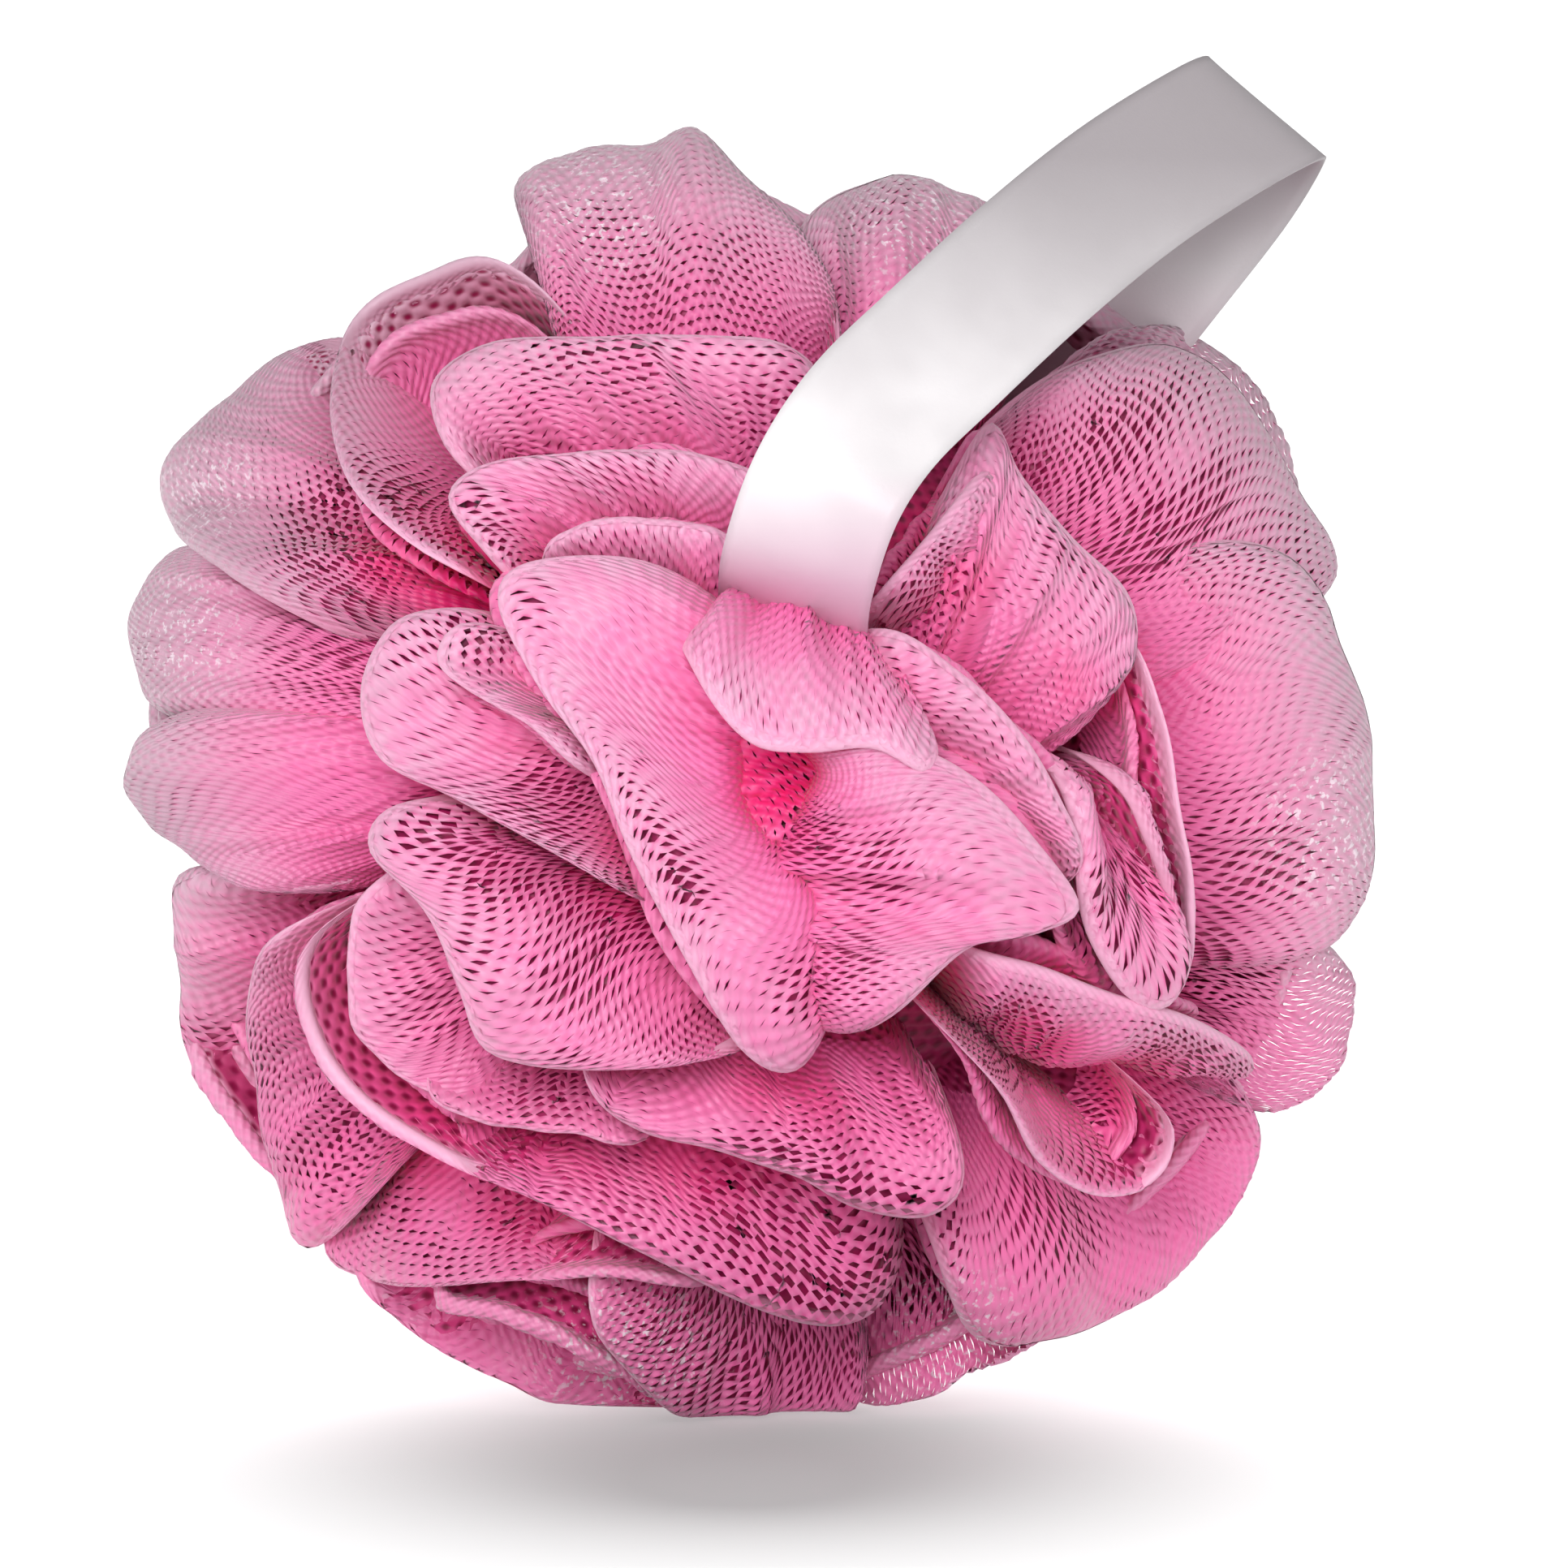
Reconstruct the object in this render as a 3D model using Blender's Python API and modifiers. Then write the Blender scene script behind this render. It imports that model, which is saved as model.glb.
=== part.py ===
"""Mesh bath pouf: a long tube of plastic netting, folded to and fro and tied at its heart, on a ribbon loop.

Metres, +Z up. The pouf's face looks along -Y and a little up. The origin is on the surface it rests on,
under the pouf's centre. Tables of folds are in millimetres in the plane of the face: across, up.
"""

import math
import random

import bmesh
import bpy
import numpy as np
from mathutils import Matrix

MM = 0.001

# Driving dimensions
POUF_RADIUS = 0.0620  # ball that the fold rims lie on
REST_HEIGHT = 0.0625  # pouf centre above the surface it rests on
FACE_TILT = math.radians(5.0)  # the face looks up by this angle
CORE_RADIUS = 0.0430  # ball of packed folds between the petals
ROOT_RADIUS = 0.0300  # where the petals start, inside the core
NET_FOLD = 0.0011  # half the thickness of a folded rim
LIP_SHARE = 0.30  # part of a petal's breadth that stands free at its rim
UNDER_SAG = 0.0042  # how far the underside reaches beyond the ball, before it is pressed flat
FOOT_RADIUS = 0.0110  # folds packed solid over the flat spot
FOOT_SPREAD = 0.0190  # breadth of those folds at the top of the foot
FOOT_HEIGHT = 0.0200
FOOT_OVERRUN = 0.0010  # past the rest plane, so that the cut there is clean

RIBBON_WIDTH = 0.0150
RIBBON_BUNCH = 0.0060  # ribbon gathered where it passes the tie
RIBBON_THICKNESS = 0.0006
TIE_RADIUS = 0.0090  # ring of cord round the gathered netting
TIE_CORD = 0.0016  # diameter of the tie cord
TIE_TURNS = 2
HEART_HOLLOW = 0.0056  # hollow at the heart, where the ribbon turns round the tie
HEART_RISE = 0.0078
CLEARANCE = 0.0003  # between touching pieces
REST_BLOCK = 0.2000  # side of the block that presses the underside flat
FOLD_PART = 0.00002  # folds that meet along a line are moved apart by this

# Facets
RIM_FACET = 0.0105  # length of rim to a facet
BACK_STEPS = 7
NET_FACETS = 10900  # triangles of the joined petals, before the ribbon's and the tie's channels
RIBBON_STEPS = 64
RING_STEPS = 20
CORD_SIDES = 6

NET_PINK = (0.86, 0.27, 0.50, 1.0)
SATIN_WHITE = (0.86, 0.84, 0.85, 1.0)
TIE_WHITE = (0.80, 0.78, 0.78, 1.0)

# The petals that show in the face: rim points, then seat points where the petal goes under the next one.
# lift: height of the rim over the ball; sink: depth of the seat under it; crown: bulge between the two.
FACE_PETALS = {
    "top": dict(
        rim=[
            (-20, 49), (-22.5, 57), (-16, 60.5), (-10, 61),
            (-5, 62.5), (0, 57.5), (5, 52), (10.5, 44),
        ],
        seat=[(-20, 42), (-8, 39), (2, 39), (9, 41)],
        lift=0.5, sink=8, crown=3.0,
    ),
    "top_right": dict(
        rim=[(3, 49), (7, 55), (13, 58.2), (19, 57.3), (26, 54), (32, 47)],
        seat=[(7, 42), (14, 41), (22, 42), (28, 40)],
        lift=-1.0, sink=8, crown=2.0,
    ),
    "upper_left_cup": dict(
        rim=[
            (-18, 49), (-26, 50.3), (-34, 48), (-39, 43.5),
            (-40, 36), (-38, 28.5), (-32, 22.5), (-24, 18.5),
        ],
        seat=[(-22, 43), (-28, 41), (-30, 35), (-28, 29), (-23, 22)],
        lift=0.5, sink=13, crown=-1.5,
    ),
    "upper_shelf": dict(
        rim=[(10, 40), (0, 41.3), (-12, 41.6), (-24, 41.6), (-29.6, 38), (-29.3, 33), (-26, 29.5)],
        seat=[(7, 30), (-2, 29), (-12, 29.5), (-20, 30), (-24, 30.5)],
        lift=1.0, sink=8, crown=1.5,
    ),
    "upper_band": dict(
        rim=[
            (5, 26), (0, 29), (-8, 30.6), (-17, 30.2),
            (-25, 29.2), (-28, 26), (-24.5, 21.5), (-21, 18),
        ],
        seat=[(2, 21), (-7, 22), (-14, 21.5), (-18, 20), (-19, 18)],
        lift=1.0, sink=7, crown=1.5,
    ),
    "brow": dict(
        rim=[(1, 21.5), (-5, 23.2), (-11, 24), (-17, 22.8), (-21.5, 19.5)],
        seat=[(0, 16), (-7, 17), (-14, 17), (-19, 16)],
        lift=1.0, sink=6, crown=0.5,
    ),
    "left_upper": dict(
        rim=[(-32.5, 44), (-38, 45), (-43, 43), (-49, 39), (-54, 34), (-57.8, 29), (-56, 24), (-48, 23)],
        seat=[(-30, 38), (-36, 35), (-37, 28), (-33, 22), (-30, 18)],
        lift=0.0, sink=12, crown=2.5,
    ),
    "left_middle": dict(
        rim=[(-48, 25), (-56, 22.5), (-59.6, 17), (-59.6, 10), (-57, 4)],
        seat=[(-37, 22), (-33, 18), (-32, 12), (-33, 5)],
        lift=0.0, sink=11, crown=2.0,
    ),
    "left_lower": dict(
        rim=[(-55, 8), (-60.6, 1), (-59, -4), (-53, -8), (-46, -12.5)],
        seat=[(-36, 7), (-34, 1), (-34, -4), (-38, -12)],
        lift=0.5, sink=11, crown=2.0,
    ),
    "left_tongue": dict(
        rim=[
            (-22, 15.5), (-28, 15.8), (-33.5, 14), (-36.3, 8),
            (-34.5, 1.5), (-27, -2.5), (-18, -7.5), (-7, -14),
        ],
        seat=[(-20, 11), (-17, 6), (-13, 0), (-9, -7), (-5, -14)],
        lift=0.5, sink=8, crown=2.0,
    ),
    "left_knob": dict(
        rim=[(-22, 14.5), (-27, 14), (-29, 11), (-26, 8), (-20, 4.5), (-14, -1)],
        seat=[(-18, 11), (-14, 6), (-10, 1)],
        lift=2.0, sink=5, crown=0.5,
    ),
    "lower_tongue": dict(
        rim=[
            (-27, -2), (-34, -3.5), (-35.5, -7.5), (-30, -13), (-27, -20),
            (-24, -26.5), (-14, -28), (-4, -27), (3, -27),
        ],
        seat=[(-20, -6), (-13, -10), (-7, -14), (-3, -20), (2, -25)],
        lift=1.5, sink=8, crown=2.5,
    ),
    "inner_left": dict(
        rim=[(-33, -8), (-37, -13), (-38, -19), (-37, -25), (-32, -29.5), (-24, -32.5)],
        seat=[(-26, -12), (-26, -18), (-24, -24), (-20, -27)],
        lift=-1.5, sink=9, crown=-0.5,
    ),
    "swoop": dict(
        rim=[
            (-38, -11), (-43, -17), (-42, -25), (-36, -32.5), (-27, -37.7),
            (-15, -42.5), (-5, -47.3), (6, -52), (17, -53.5),
        ],
        seat=[(-37, -12), (-39, -18), (-37, -26), (-28, -32), (-16, -34), (-3, -36), (8, -39), (17, -41)],
        lift=0.5, sink=8, crown=1.0,
    ),
    "left_fin": dict(
        rim=[
            (-43, -13.5), (-47, -17.5), (-48, -25), (-47.3, -33),
            (-45.5, -40), (-42.5, -46), (-36, -41),
        ],
        seat=[(-40, -16), (-39, -24), (-35, -31), (-30, -35)],
        lift=-0.5, sink=9, crown=1.0,
    ),
    "left_flap": dict(
        rim=[
            (-48, -9), (-55.4, -10.5), (-55.2, -17), (-54.8, -25),
            (-51, -32.5), (-45.5, -41), (-42, -45.5),
        ],
        seat=[(-44, -11), (-44, -18), (-44, -26), (-42, -33), (-38, -39)],
        lift=0.0, sink=10, crown=1.5,
    ),
    "lower_left_band": dict(
        rim=[(-45, -44), (-41, -47.5), (-34, -48.4), (-22, -47.8), (-10, -47.8), (0, -50)],
        seat=[(-38, -39), (-30, -36), (-20, -39), (-9, -43), (2, -47)],
        lift=-1.0, sink=10, crown=-0.5,
    ),
    "bottom_left": dict(
        rim=[
            (-42, -46), (-36.5, -49.5), (-31, -53.5), (-24, -56.5),
            (-15, -60), (-8, -61.8), (0, -62.4),
        ],
        seat=[(-34, -44), (-24, -46), (-14, -49), (-5, -52), (3, -53)],
        lift=0.0, sink=10, crown=1.5,
    ),
    "bottom": dict(
        rim=[(-16, -48), (-13.5, -53), (-9, -57.5), (-3, -61.5), (6, -61.8), (13, -59)],
        seat=[(-9, -44), (-3, -46), (4, -49), (12, -50)],
        lift=0.5, sink=9, crown=1.5,
    ),
    "bottom_right_flap": dict(
        rim=[(8, -60.5), (14, -58.8), (20, -56.4), (26, -54), (32, -51)],
        seat=[(9, -50), (16, -48), (24, -46), (30, -43)],
        lift=-1.0, sink=10, crown=1.0,
    ),
    "lower_band": dict(
        rim=[
            (-18, -28), (-12, -32.5), (-4, -35), (4, -37.7),
            (10, -40.6), (16, -41.8), (20.5, -39.5), (21.5, -34),
        ],
        seat=[(-12, -27), (-3, -26), (4, -28), (11, -29), (18, -29)],
        lift=0.5, sink=7, crown=1.5,
    ),
    "lower_lip": dict(
        rim=[(-33, -29), (-28, -32), (-21, -33.6), (-14, -34.4), (-8, -36.5)],
        seat=[(-28, -27), (-20, -27), (-13, -28), (-6, -31)],
        lift=-0.5, sink=8, crown=0.0,
    ),
    "star_left": dict(
        rim=[
            (-6, 20), (-19, 18.5), (-22, 15), (-19, 8.5), (-14, 1),
            (-10, -8), (-5, -17.5), (0, -26), (5, -29), (10, -26.5),
        ],
        seat=[(2, 15), (1, 9), (0, 3), (0.5, -4), (4, -9), (8, -15), (10, -20)],
        lift=3.0, sink=1.0, crown=1.0,
    ),
    "star_right": dict(
        rim=[
            (5, 3), (13, 3), (21, -0.5), (27, -6.5), (31, -12.5),
            (27, -15), (20.5, -16.5), (14, -22.5), (8, -28),
        ],
        seat=[(3.5, 0), (3.5, -4), (2.5, -8), (2, -13), (3, -19), (4, -24)],
        lift=2.5, sink=1.5, crown=2.0,
    ),
    "centre_flap": dict(
        rim=[(-7, 15), (-3, 7.5), (1, 3.5), (6, 2.8), (12, 3.2), (17, 1), (20, 5)],
        seat=[(-3, 19), (2, 17.5), (7, 16), (12, 14), (15, 10)],
        lift=4.0, sink=1.0, crown=1.0,
    ),
    "right_strip": dict(
        rim=[(11, 15), (17, 11.5), (22, 7.5), (26, 3), (29, -2), (31.5, -8), (31, -13)],
        seat=[(9, 8), (14, 3), (19, -1), (25, -6), (28, -11)],
        lift=1.5, sink=5, crown=1.0,
    ),
    "right_fan": dict(
        rim=[(17, 23), (23, 33), (26, 28), (31, 22), (36, 17), (37, 12), (34, 6)],
        seat=[(14, 16), (18, 13), (23, 9), (27, 4), (30, -1)],
        lift=0.5, sink=6, crown=2.0,
    ),
    "right_tongue": dict(
        rim=[
            (30, 4), (31.5, -4), (32.5, -13), (36, -20), (40, -22),
            (42, -18), (40.5, -11), (38, -4), (36.8, 3),
        ],
        seat=[(32, 2), (33.5, -3), (35, -7), (36, -3), (35, 2)],
        lift=0.5, sink=4, crown=2.0,
    ),
    "right_ridge": dict(
        rim=[(27, 16), (33, 15.6), (37.5, 12), (40, 5), (41.3, -3), (43, -12), (42.8, -19), (40, -24)],
        seat=[(29, 10), (33, 9), (35, 4), (36, -4), (38, -12), (38, -19)],
        lift=0.5, sink=10, crown=-2.0,
    ),
    "upper_right": dict(
        rim=[(26, 38), (33, 40), (40, 41.6), (46, 38.5), (50.5, 32.5), (54, 27), (57.4, 21), (56, 14)],
        seat=[(24, 30), (29, 24), (34, 18), (38, 12), (40, 7)],
        lift=0.0, sink=10, crown=2.5,
    ),
    "upper_right_back": dict(
        rim=[(33, 44), (42, 43.2), (48.5, 39), (52.3, 33.5), (53.8, 28), (55, 22)],
        seat=[(30, 36), (36, 34), (41, 28), (44, 22)],
        lift=-1.0, sink=9, crown=1.0,
    ),
    "right_middle": dict(
        rim=[(45, 25), (53, 20.5), (57.5, 12.5), (60, 5), (60.6, -3), (59.8, -11), (57, -20)],
        seat=[(37, 17), (40, 11), (41, 4), (42, -5), (43, -14), (41, -21)],
        lift=0.0, sink=11, crown=2.0,
    ),
    "right_lower": dict(
        rim=[(57, -15), (59.2, -21), (58, -27.5), (54, -31.7), (48, -34)],
        seat=[(44, -17), (44, -22), (42, -26), (39, -29)],
        lift=-0.5, sink=10, crown=1.0,
    ),
    "right_wing": dict(
        rim=[(19, -17), (27, -18.7), (35, -21.7), (43, -24.3), (49, -28), (51, -32)],
        seat=[(20, -23), (25, -27), (32, -29), (39, -29), (45, -31)],
        lift=0.0, sink=7, crown=0.5,
    ),
    "curl": dict(
        rim=[
            (15, -21), (20.5, -26), (25, -31), (28.5, -37),
            (34, -40), (39.5, -39), (41.5, -34.5), (38.5, -30),
        ],
        seat=[(19, -22), (25, -27), (29, -31), (33, -32.5), (36, -32), (36.5, -30)],
        lift=1.0, sink=10, crown=-2.0,
    ),
    "lower_right": dict(
        rim=[
            (51, -30), (50, -36), (46.5, -42), (41.5, -48),
            (35, -51.6), (28, -53.2), (21.5, -52.8), (19, -46),
        ],
        seat=[(42, -28), (38, -34), (32, -37), (26, -35), (20, -36)],
        lift=0.0, sink=10, crown=2.0,
    ),
    "heart_fill": dict(
        rim=[(-4, 9), (0, 5), (2, 0), (3, -5), (5, -11)],
        seat=[(3, 11), (6, 6), (8, 0), (9, -5), (10, -11)],
        lift=-6.0, sink=4, crown=0.0,
    ),
    "fan_rib_low": dict(
        rim=[(13, 17), (17, 21.5), (21, 26.5), (24.5, 31)],
        seat=[(17, 14), (21, 18), (25, 22), (28, 26)],
        lift=1.6, sink=6, crown=0.5,
    ),
    "fan_rib_high": dict(
        rim=[(18, 14), (22, 17.5), (26, 21.5), (29, 25.5)],
        seat=[(21, 11), (25, 14), (29, 17), (32, 20)],
        lift=1.4, sink=6, crown=0.5,
    ),
    "bottom_left_inner": dict(
        rim=[(-33, -49.5), (-27, -50.5), (-20, -52), (-12, -56), (-6, -60.5)],
        seat=[(-28, -45), (-20, -47), (-12, -49), (-5, -53)],
        lift=1.0, sink=9, crown=1.0,
    ),
}

# A ring of petals round the outline behind the face, then petals over the back, spread by the golden angle
SIDE_PETALS = 11
SIDE_POLAR = 80  # degrees from the face axis to a side petal's rim
SIDE_RADIUS = 0.0595
BACK_PETALS = 26
BACK_FROM = 98  # degrees from the face axis
BACK_RADIUS = 0.0612
BACK_HALF_WIDTH = 31  # degrees
BACK_LEAN = 21  # degrees from rim to seat
BACK_SEED = 7

# How far the folds behind the face reach at each clock angle, seen from the face: degrees, mm
OUTLINE = [
    (0, 60), (14, 57.5), (25, 61), (40, 61), (66, 59.5), (78, 58.5), (85, 52.5), (92, 57), (100, 60), (108, 60),
    (112.5, 53.5), (119, 55.5), (128, 57), (140, 59.5), (153, 61), (170, 60), (182, 60), (189, 51.5), (194, 55.5),
    (205, 57.5), (215, 59.5), (240, 60.5), (270, 61), (288, 59), (300, 59.5), (310, 61), (327, 58.5), (336, 61),
    (343, 60.5), (352, 60),
]

# The ribbon's way: across, towards the viewer, up; then how far its width turns from level, and its width
RIBBON_PATH = [
    (0, 4.2, 9.5, 0, 0.0),
    (1.2, 14, 10, 0, 0.2),
    (3, 32, 11.5, -18, 0.8),
    (4.2, 50, 13.5, -20, 1.0),
    (4.8, 62.5, 19, -22, 1.0),
    (7.5, 66, 27, -30, 1.0),
    (12, 64, 34, -40, 1.0),
    (19, 57.5, 41, -45, 1.0),
    (28, 47.5, 49.5, -44, 1.0),
    (37, 36, 57, -43, 1.0),
    (46, 25.5, 63, -41, 1.0),
    (50.5, 19, 65.3, -40, 1.0),
    (50.5, 13.5, 64.3, -41, 1.0),
    (47, 10.5, 58.5, -43, 1.0),
    (40, 10, 49.5, -46, 1.0),
    (32, 9.5, 39.5, -46, 1.0),
    (22, 6, 28, -44, 0.9),
    (10, -0.5, 18, -25, 0.4),
    (0, -4.2, 10.5, 0, 0.0),
    (0, -3.8, 6.8, 0, 0.0),
    (0, 0, 4.6, 0, 0.0),
    (0, 3.8, 6.8, 0, 0.0),
]


def clear_scene():
    """Remove whatever the scene holds."""
    for thing in list(bpy.data.objects):
        bpy.data.objects.remove(thing, do_unlink=True)


def new_collection(name):
    """A collection linked to the scene."""
    group = bpy.data.collections.new(name)
    bpy.context.scene.collection.children.link(group)
    return group


def principled(name, color, roughness, sheen=0.0):
    """A plain Principled material."""
    material = bpy.data.materials.new(name)
    material.use_nodes = True
    shader = material.node_tree.nodes["Principled BSDF"]
    shader.inputs["Base Color"].default_value = color
    shader.inputs["Roughness"].default_value = roughness
    shader.inputs["Sheen Weight"].default_value = sheen
    material.diffuse_color = color
    return material


def face_to_world(points):
    """From across, towards the viewer, up (from the pouf's centre) to the part's own frame."""
    p = np.asarray(points, float)
    across, out, up = p[..., 0], p[..., 1], p[..., 2]
    cos_tilt, sin_tilt = math.cos(FACE_TILT), math.sin(FACE_TILT)
    y = -out * cos_tilt + up * sin_tilt
    z = out * sin_tilt + up * cos_tilt + REST_HEIGHT
    return np.stack([across, y, z], axis=-1)


def smooth_through(points, count, closed=False):
    """Points at even steps along a Catmull-Rom curve through the given ones."""
    p = np.asarray(points, float)
    if closed:
        p = np.vstack([p[-1], p, p[0], p[1]])
    else:
        p = np.vstack([2 * p[0] - p[1], p, 2 * p[-1] - p[-2]])
    spans = len(p) - 3
    fine = []
    for i in range(spans):
        a, b, c, d = p[i : i + 4]
        for t in np.linspace(0, 1, 12, endpoint=False):
            fine.append(
                0.5 * (2 * b + (c - a) * t + (2 * a - 5 * b + 4 * c - d) * t**2 + (3 * b - a - 3 * c + d) * t**3)
            )
    fine.append(p[-2])
    fine = np.array(fine)
    run = np.concatenate([[0], np.cumsum(np.linalg.norm(np.diff(fine[:, :3], axis=0), axis=1))])
    at = np.linspace(0, run[-1], count, endpoint=not closed)
    return np.stack([np.interp(at, run, fine[:, k]) for k in range(p.shape[1])], axis=1)


def on_ball(flat_points, radius):
    """Directions from the pouf's centre to face points laid on a ball, and each point's distance."""
    p = np.asarray(flat_points, float) * MM
    spread = np.hypot(p[:, 0], p[:, 1])
    out = np.sqrt(np.maximum(radius**2 - spread**2, (0.1 * radius) ** 2))
    place = np.stack([p[:, 0], out, p[:, 1]], axis=1)
    reach = np.linalg.norm(place, axis=1)
    return place / reach[:, None], reach


def between(start, end, share):
    """Unit directions part of the way along the arcs from start to end."""
    angle = np.arccos(np.clip((start * end).sum(1), -1, 1))[:, None]
    angle = np.maximum(angle, 1e-6)
    return (np.sin((1 - share) * angle) * start + np.sin(share * angle) * end) / np.sin(angle)


def petal_rings(rim_way, rim_reach, seat_way, seat_reach, crown):
    """The closed cross-sections of one petal, from its back root over the rim to its front root."""
    steps = len(rim_way)
    along = np.linspace(-1, 1, steps)
    tuck = (1 - 0.18 * np.abs(along) ** 10)[:, None]
    sag = UNDER_SAG * np.maximum(0, -rim_way[:, 2]) ** 5
    rim_reach = (rim_reach + sag)[:, None] * tuck
    seat_reach = seat_reach[:, None] * tuck

    def sheet(share, offset):
        reach = rim_reach + (seat_reach - rim_reach) * share**1.5
        reach = reach + crown * math.sin(math.pi * share**0.8)
        return between(rim_way, seat_way, share) * (reach + offset)

    lip = between(rim_way, seat_way, 0.02) - rim_way
    lip /= np.linalg.norm(lip, axis=1)[:, None]
    rings = [
        between(rim_way, seat_way, LIP_SHARE + 0.15) * ROOT_RADIUS,
        sheet(LIP_SHARE, -5.0 * NET_FOLD),
        sheet(0.5 * LIP_SHARE, -2.4 * NET_FOLD),
        sheet(0.0, -NET_FOLD),
        sheet(0.0, 0.0) - lip * NET_FOLD,
        sheet(0.0, NET_FOLD),
        sheet(0.25, NET_FOLD),
        sheet(0.6, NET_FOLD),
        sheet(1.0, 0.0),
        between(rim_way, seat_way, 1.0) * ROOT_RADIUS,
    ]
    return np.stack(rings, axis=1)


def loft(name, rings, closed_run=False):
    """A closed mesh over rings of equal length, with its ends capped unless the run is closed."""
    steps, sides = rings.shape[:2]
    mesh = bmesh.new()
    verts = [[mesh.verts.new(point) for point in ring] for ring in rings]
    for i in range(steps if closed_run else steps - 1):
        here, there = verts[i], verts[(i + 1) % steps]
        for j in range(sides):
            k = (j + 1) % sides
            mesh.faces.new((here[j], here[k], there[k], there[j]))
    if not closed_run:
        mesh.faces.new(verts[0][::-1])
        mesh.faces.new(verts[-1])
    bmesh.ops.triangulate(mesh, faces=[f for f in mesh.faces if len(f.verts) > 4])
    bmesh.ops.recalc_face_normals(mesh, faces=mesh.faces)
    data = bpy.data.meshes.new(name)
    mesh.to_mesh(data)
    mesh.free()
    return data


def face_petal(name, spec):
    """One petal of the face, from its row in the table."""
    run = sum(math.dist(a, b) for a, b in zip(spec["rim"], spec["rim"][1:])) * MM
    steps = max(5, round(run / RIM_FACET) + 1)
    rim_way, rim_reach = on_ball(smooth_through(spec["rim"], steps), POUF_RADIUS + spec["lift"] * MM)
    seat_way, seat_reach = on_ball(smooth_through(spec["seat"], steps), POUF_RADIUS - spec["sink"] * MM)
    rings = petal_rings(rim_way, rim_reach, seat_way, seat_reach, spec["crown"] * MM)
    return loft(name, face_to_world(rings))


def outline_reach(way, reach):
    """Draw back what would show beyond the outline of the face's own folds."""
    clock = np.degrees(np.arctan2(way[:, 2], way[:, 0])) % 360
    limit = np.interp(clock, [row[0] for row in OUTLINE], [row[1] * MM for row in OUTLINE], period=360)
    spread = reach * np.hypot(way[:, 0], way[:, 2])
    return reach * np.minimum(1.0, limit / np.maximum(spread, 1e-6))


def free_petal(centre, along, inward, reach, rng):
    """A petal away from the face: its rim a slack wave along one way, its seat inward of it."""
    turn = np.linspace(-1, 1, BACK_STEPS)[:, None]
    width = math.tan(math.radians(BACK_HALF_WIDTH))
    lean = math.tan(math.radians(BACK_LEAN))
    wave = rng.uniform(0.05, 0.11)
    bend = wave * np.sin(4.2 * turn + rng.uniform(0, 2 * math.pi)) + 0.10 * turn**2
    rim_way = centre + width * turn * along + bend * inward
    seat_way = centre + 0.75 * width * turn * along + lean * inward
    rim_way /= np.linalg.norm(rim_way, axis=1)[:, None]
    seat_way /= np.linalg.norm(seat_way, axis=1)[:, None]
    rim_reach = outline_reach(rim_way, np.full(BACK_STEPS, reach - rng.uniform(0, 2.5) * MM))
    seat_reach = rim_reach - rng.uniform(12, 16) * MM
    rings = petal_rings(rim_way, rim_reach, seat_way, seat_reach, rng.uniform(-1.0, 2.5) * MM)
    return loft("petal", face_to_world(rings))


def back_petals():
    """Petals round the outline behind the face, and over the back, each lying its own way."""
    rng = random.Random(BACK_SEED)
    axis = np.array((0.0, 1.0, 0.0))
    for k in range(SIDE_PETALS):
        clock = 2 * math.pi * (k + rng.uniform(-0.15, 0.15)) / SIDE_PETALS
        polar = math.radians(SIDE_POLAR + rng.uniform(-3, 3))
        ring = math.sin(polar)
        centre = np.array([ring * math.cos(clock), math.cos(polar), ring * math.sin(clock)])
        around = np.cross(centre, axis) / ring
        away = np.cross(centre, around)
        yield f"side_{k}", free_petal(centre, around, -away * np.sign(away[1]), SIDE_RADIUS, rng)
    golden = math.pi * (3 - math.sqrt(5))
    first = math.cos(math.radians(BACK_FROM))
    for k in range(BACK_PETALS):
        out = first - (first + 1) * (k + 0.5) / BACK_PETALS
        ring = math.sqrt(1 - out**2)
        centre = np.array([ring * math.cos(k * golden), out, ring * math.sin(k * golden)])
        around = np.cross(centre, axis) / ring
        away = np.cross(centre, around)
        away *= -np.sign(away[1])
        skew = rng.uniform(-1.2, 1.2)
        along = around * math.cos(skew) + away * math.sin(skew)
        inward = away * math.cos(skew) - around * math.sin(skew)
        yield f"back_{k}", free_petal(centre, along, inward, BACK_RADIUS, rng)


def add_object(name, data, group, material=None):
    """Link a mesh as an object, with its material."""
    thing = bpy.data.objects.new(name, data)
    if material:
        data.materials.append(material)
    group.objects.link(thing)
    return thing


def hide_tool(thing):
    """Show a cutter as wire only."""
    thing.hide_render = True
    thing.display_type = "WIRE"
    return thing


def ball_mesh(name, radius, rise, fineness):
    """A ball on the line up the face from the pouf's centre."""
    mesh = bmesh.new()
    place = Matrix.Translation(face_to_world((0, 0, rise)))
    bmesh.ops.create_icosphere(mesh, subdivisions=fineness, radius=radius, matrix=place)
    data = bpy.data.meshes.new(name)
    mesh.to_mesh(data)
    mesh.free()
    return data


def foot_mesh():
    """The pressed folds that the pouf stands on: a frustum from past the rest plane up into the petals."""
    depth = FOOT_HEIGHT + FOOT_OVERRUN
    mesh = bmesh.new()
    place = Matrix.Translation((0, 0, 0.5 * depth - FOOT_OVERRUN))
    bmesh.ops.create_cone(
        mesh, cap_ends=True, segments=28, radius1=FOOT_RADIUS, radius2=FOOT_SPREAD, depth=depth, matrix=place
    )
    data = bpy.data.meshes.new("foot")
    mesh.to_mesh(data)
    mesh.free()
    return data


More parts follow.
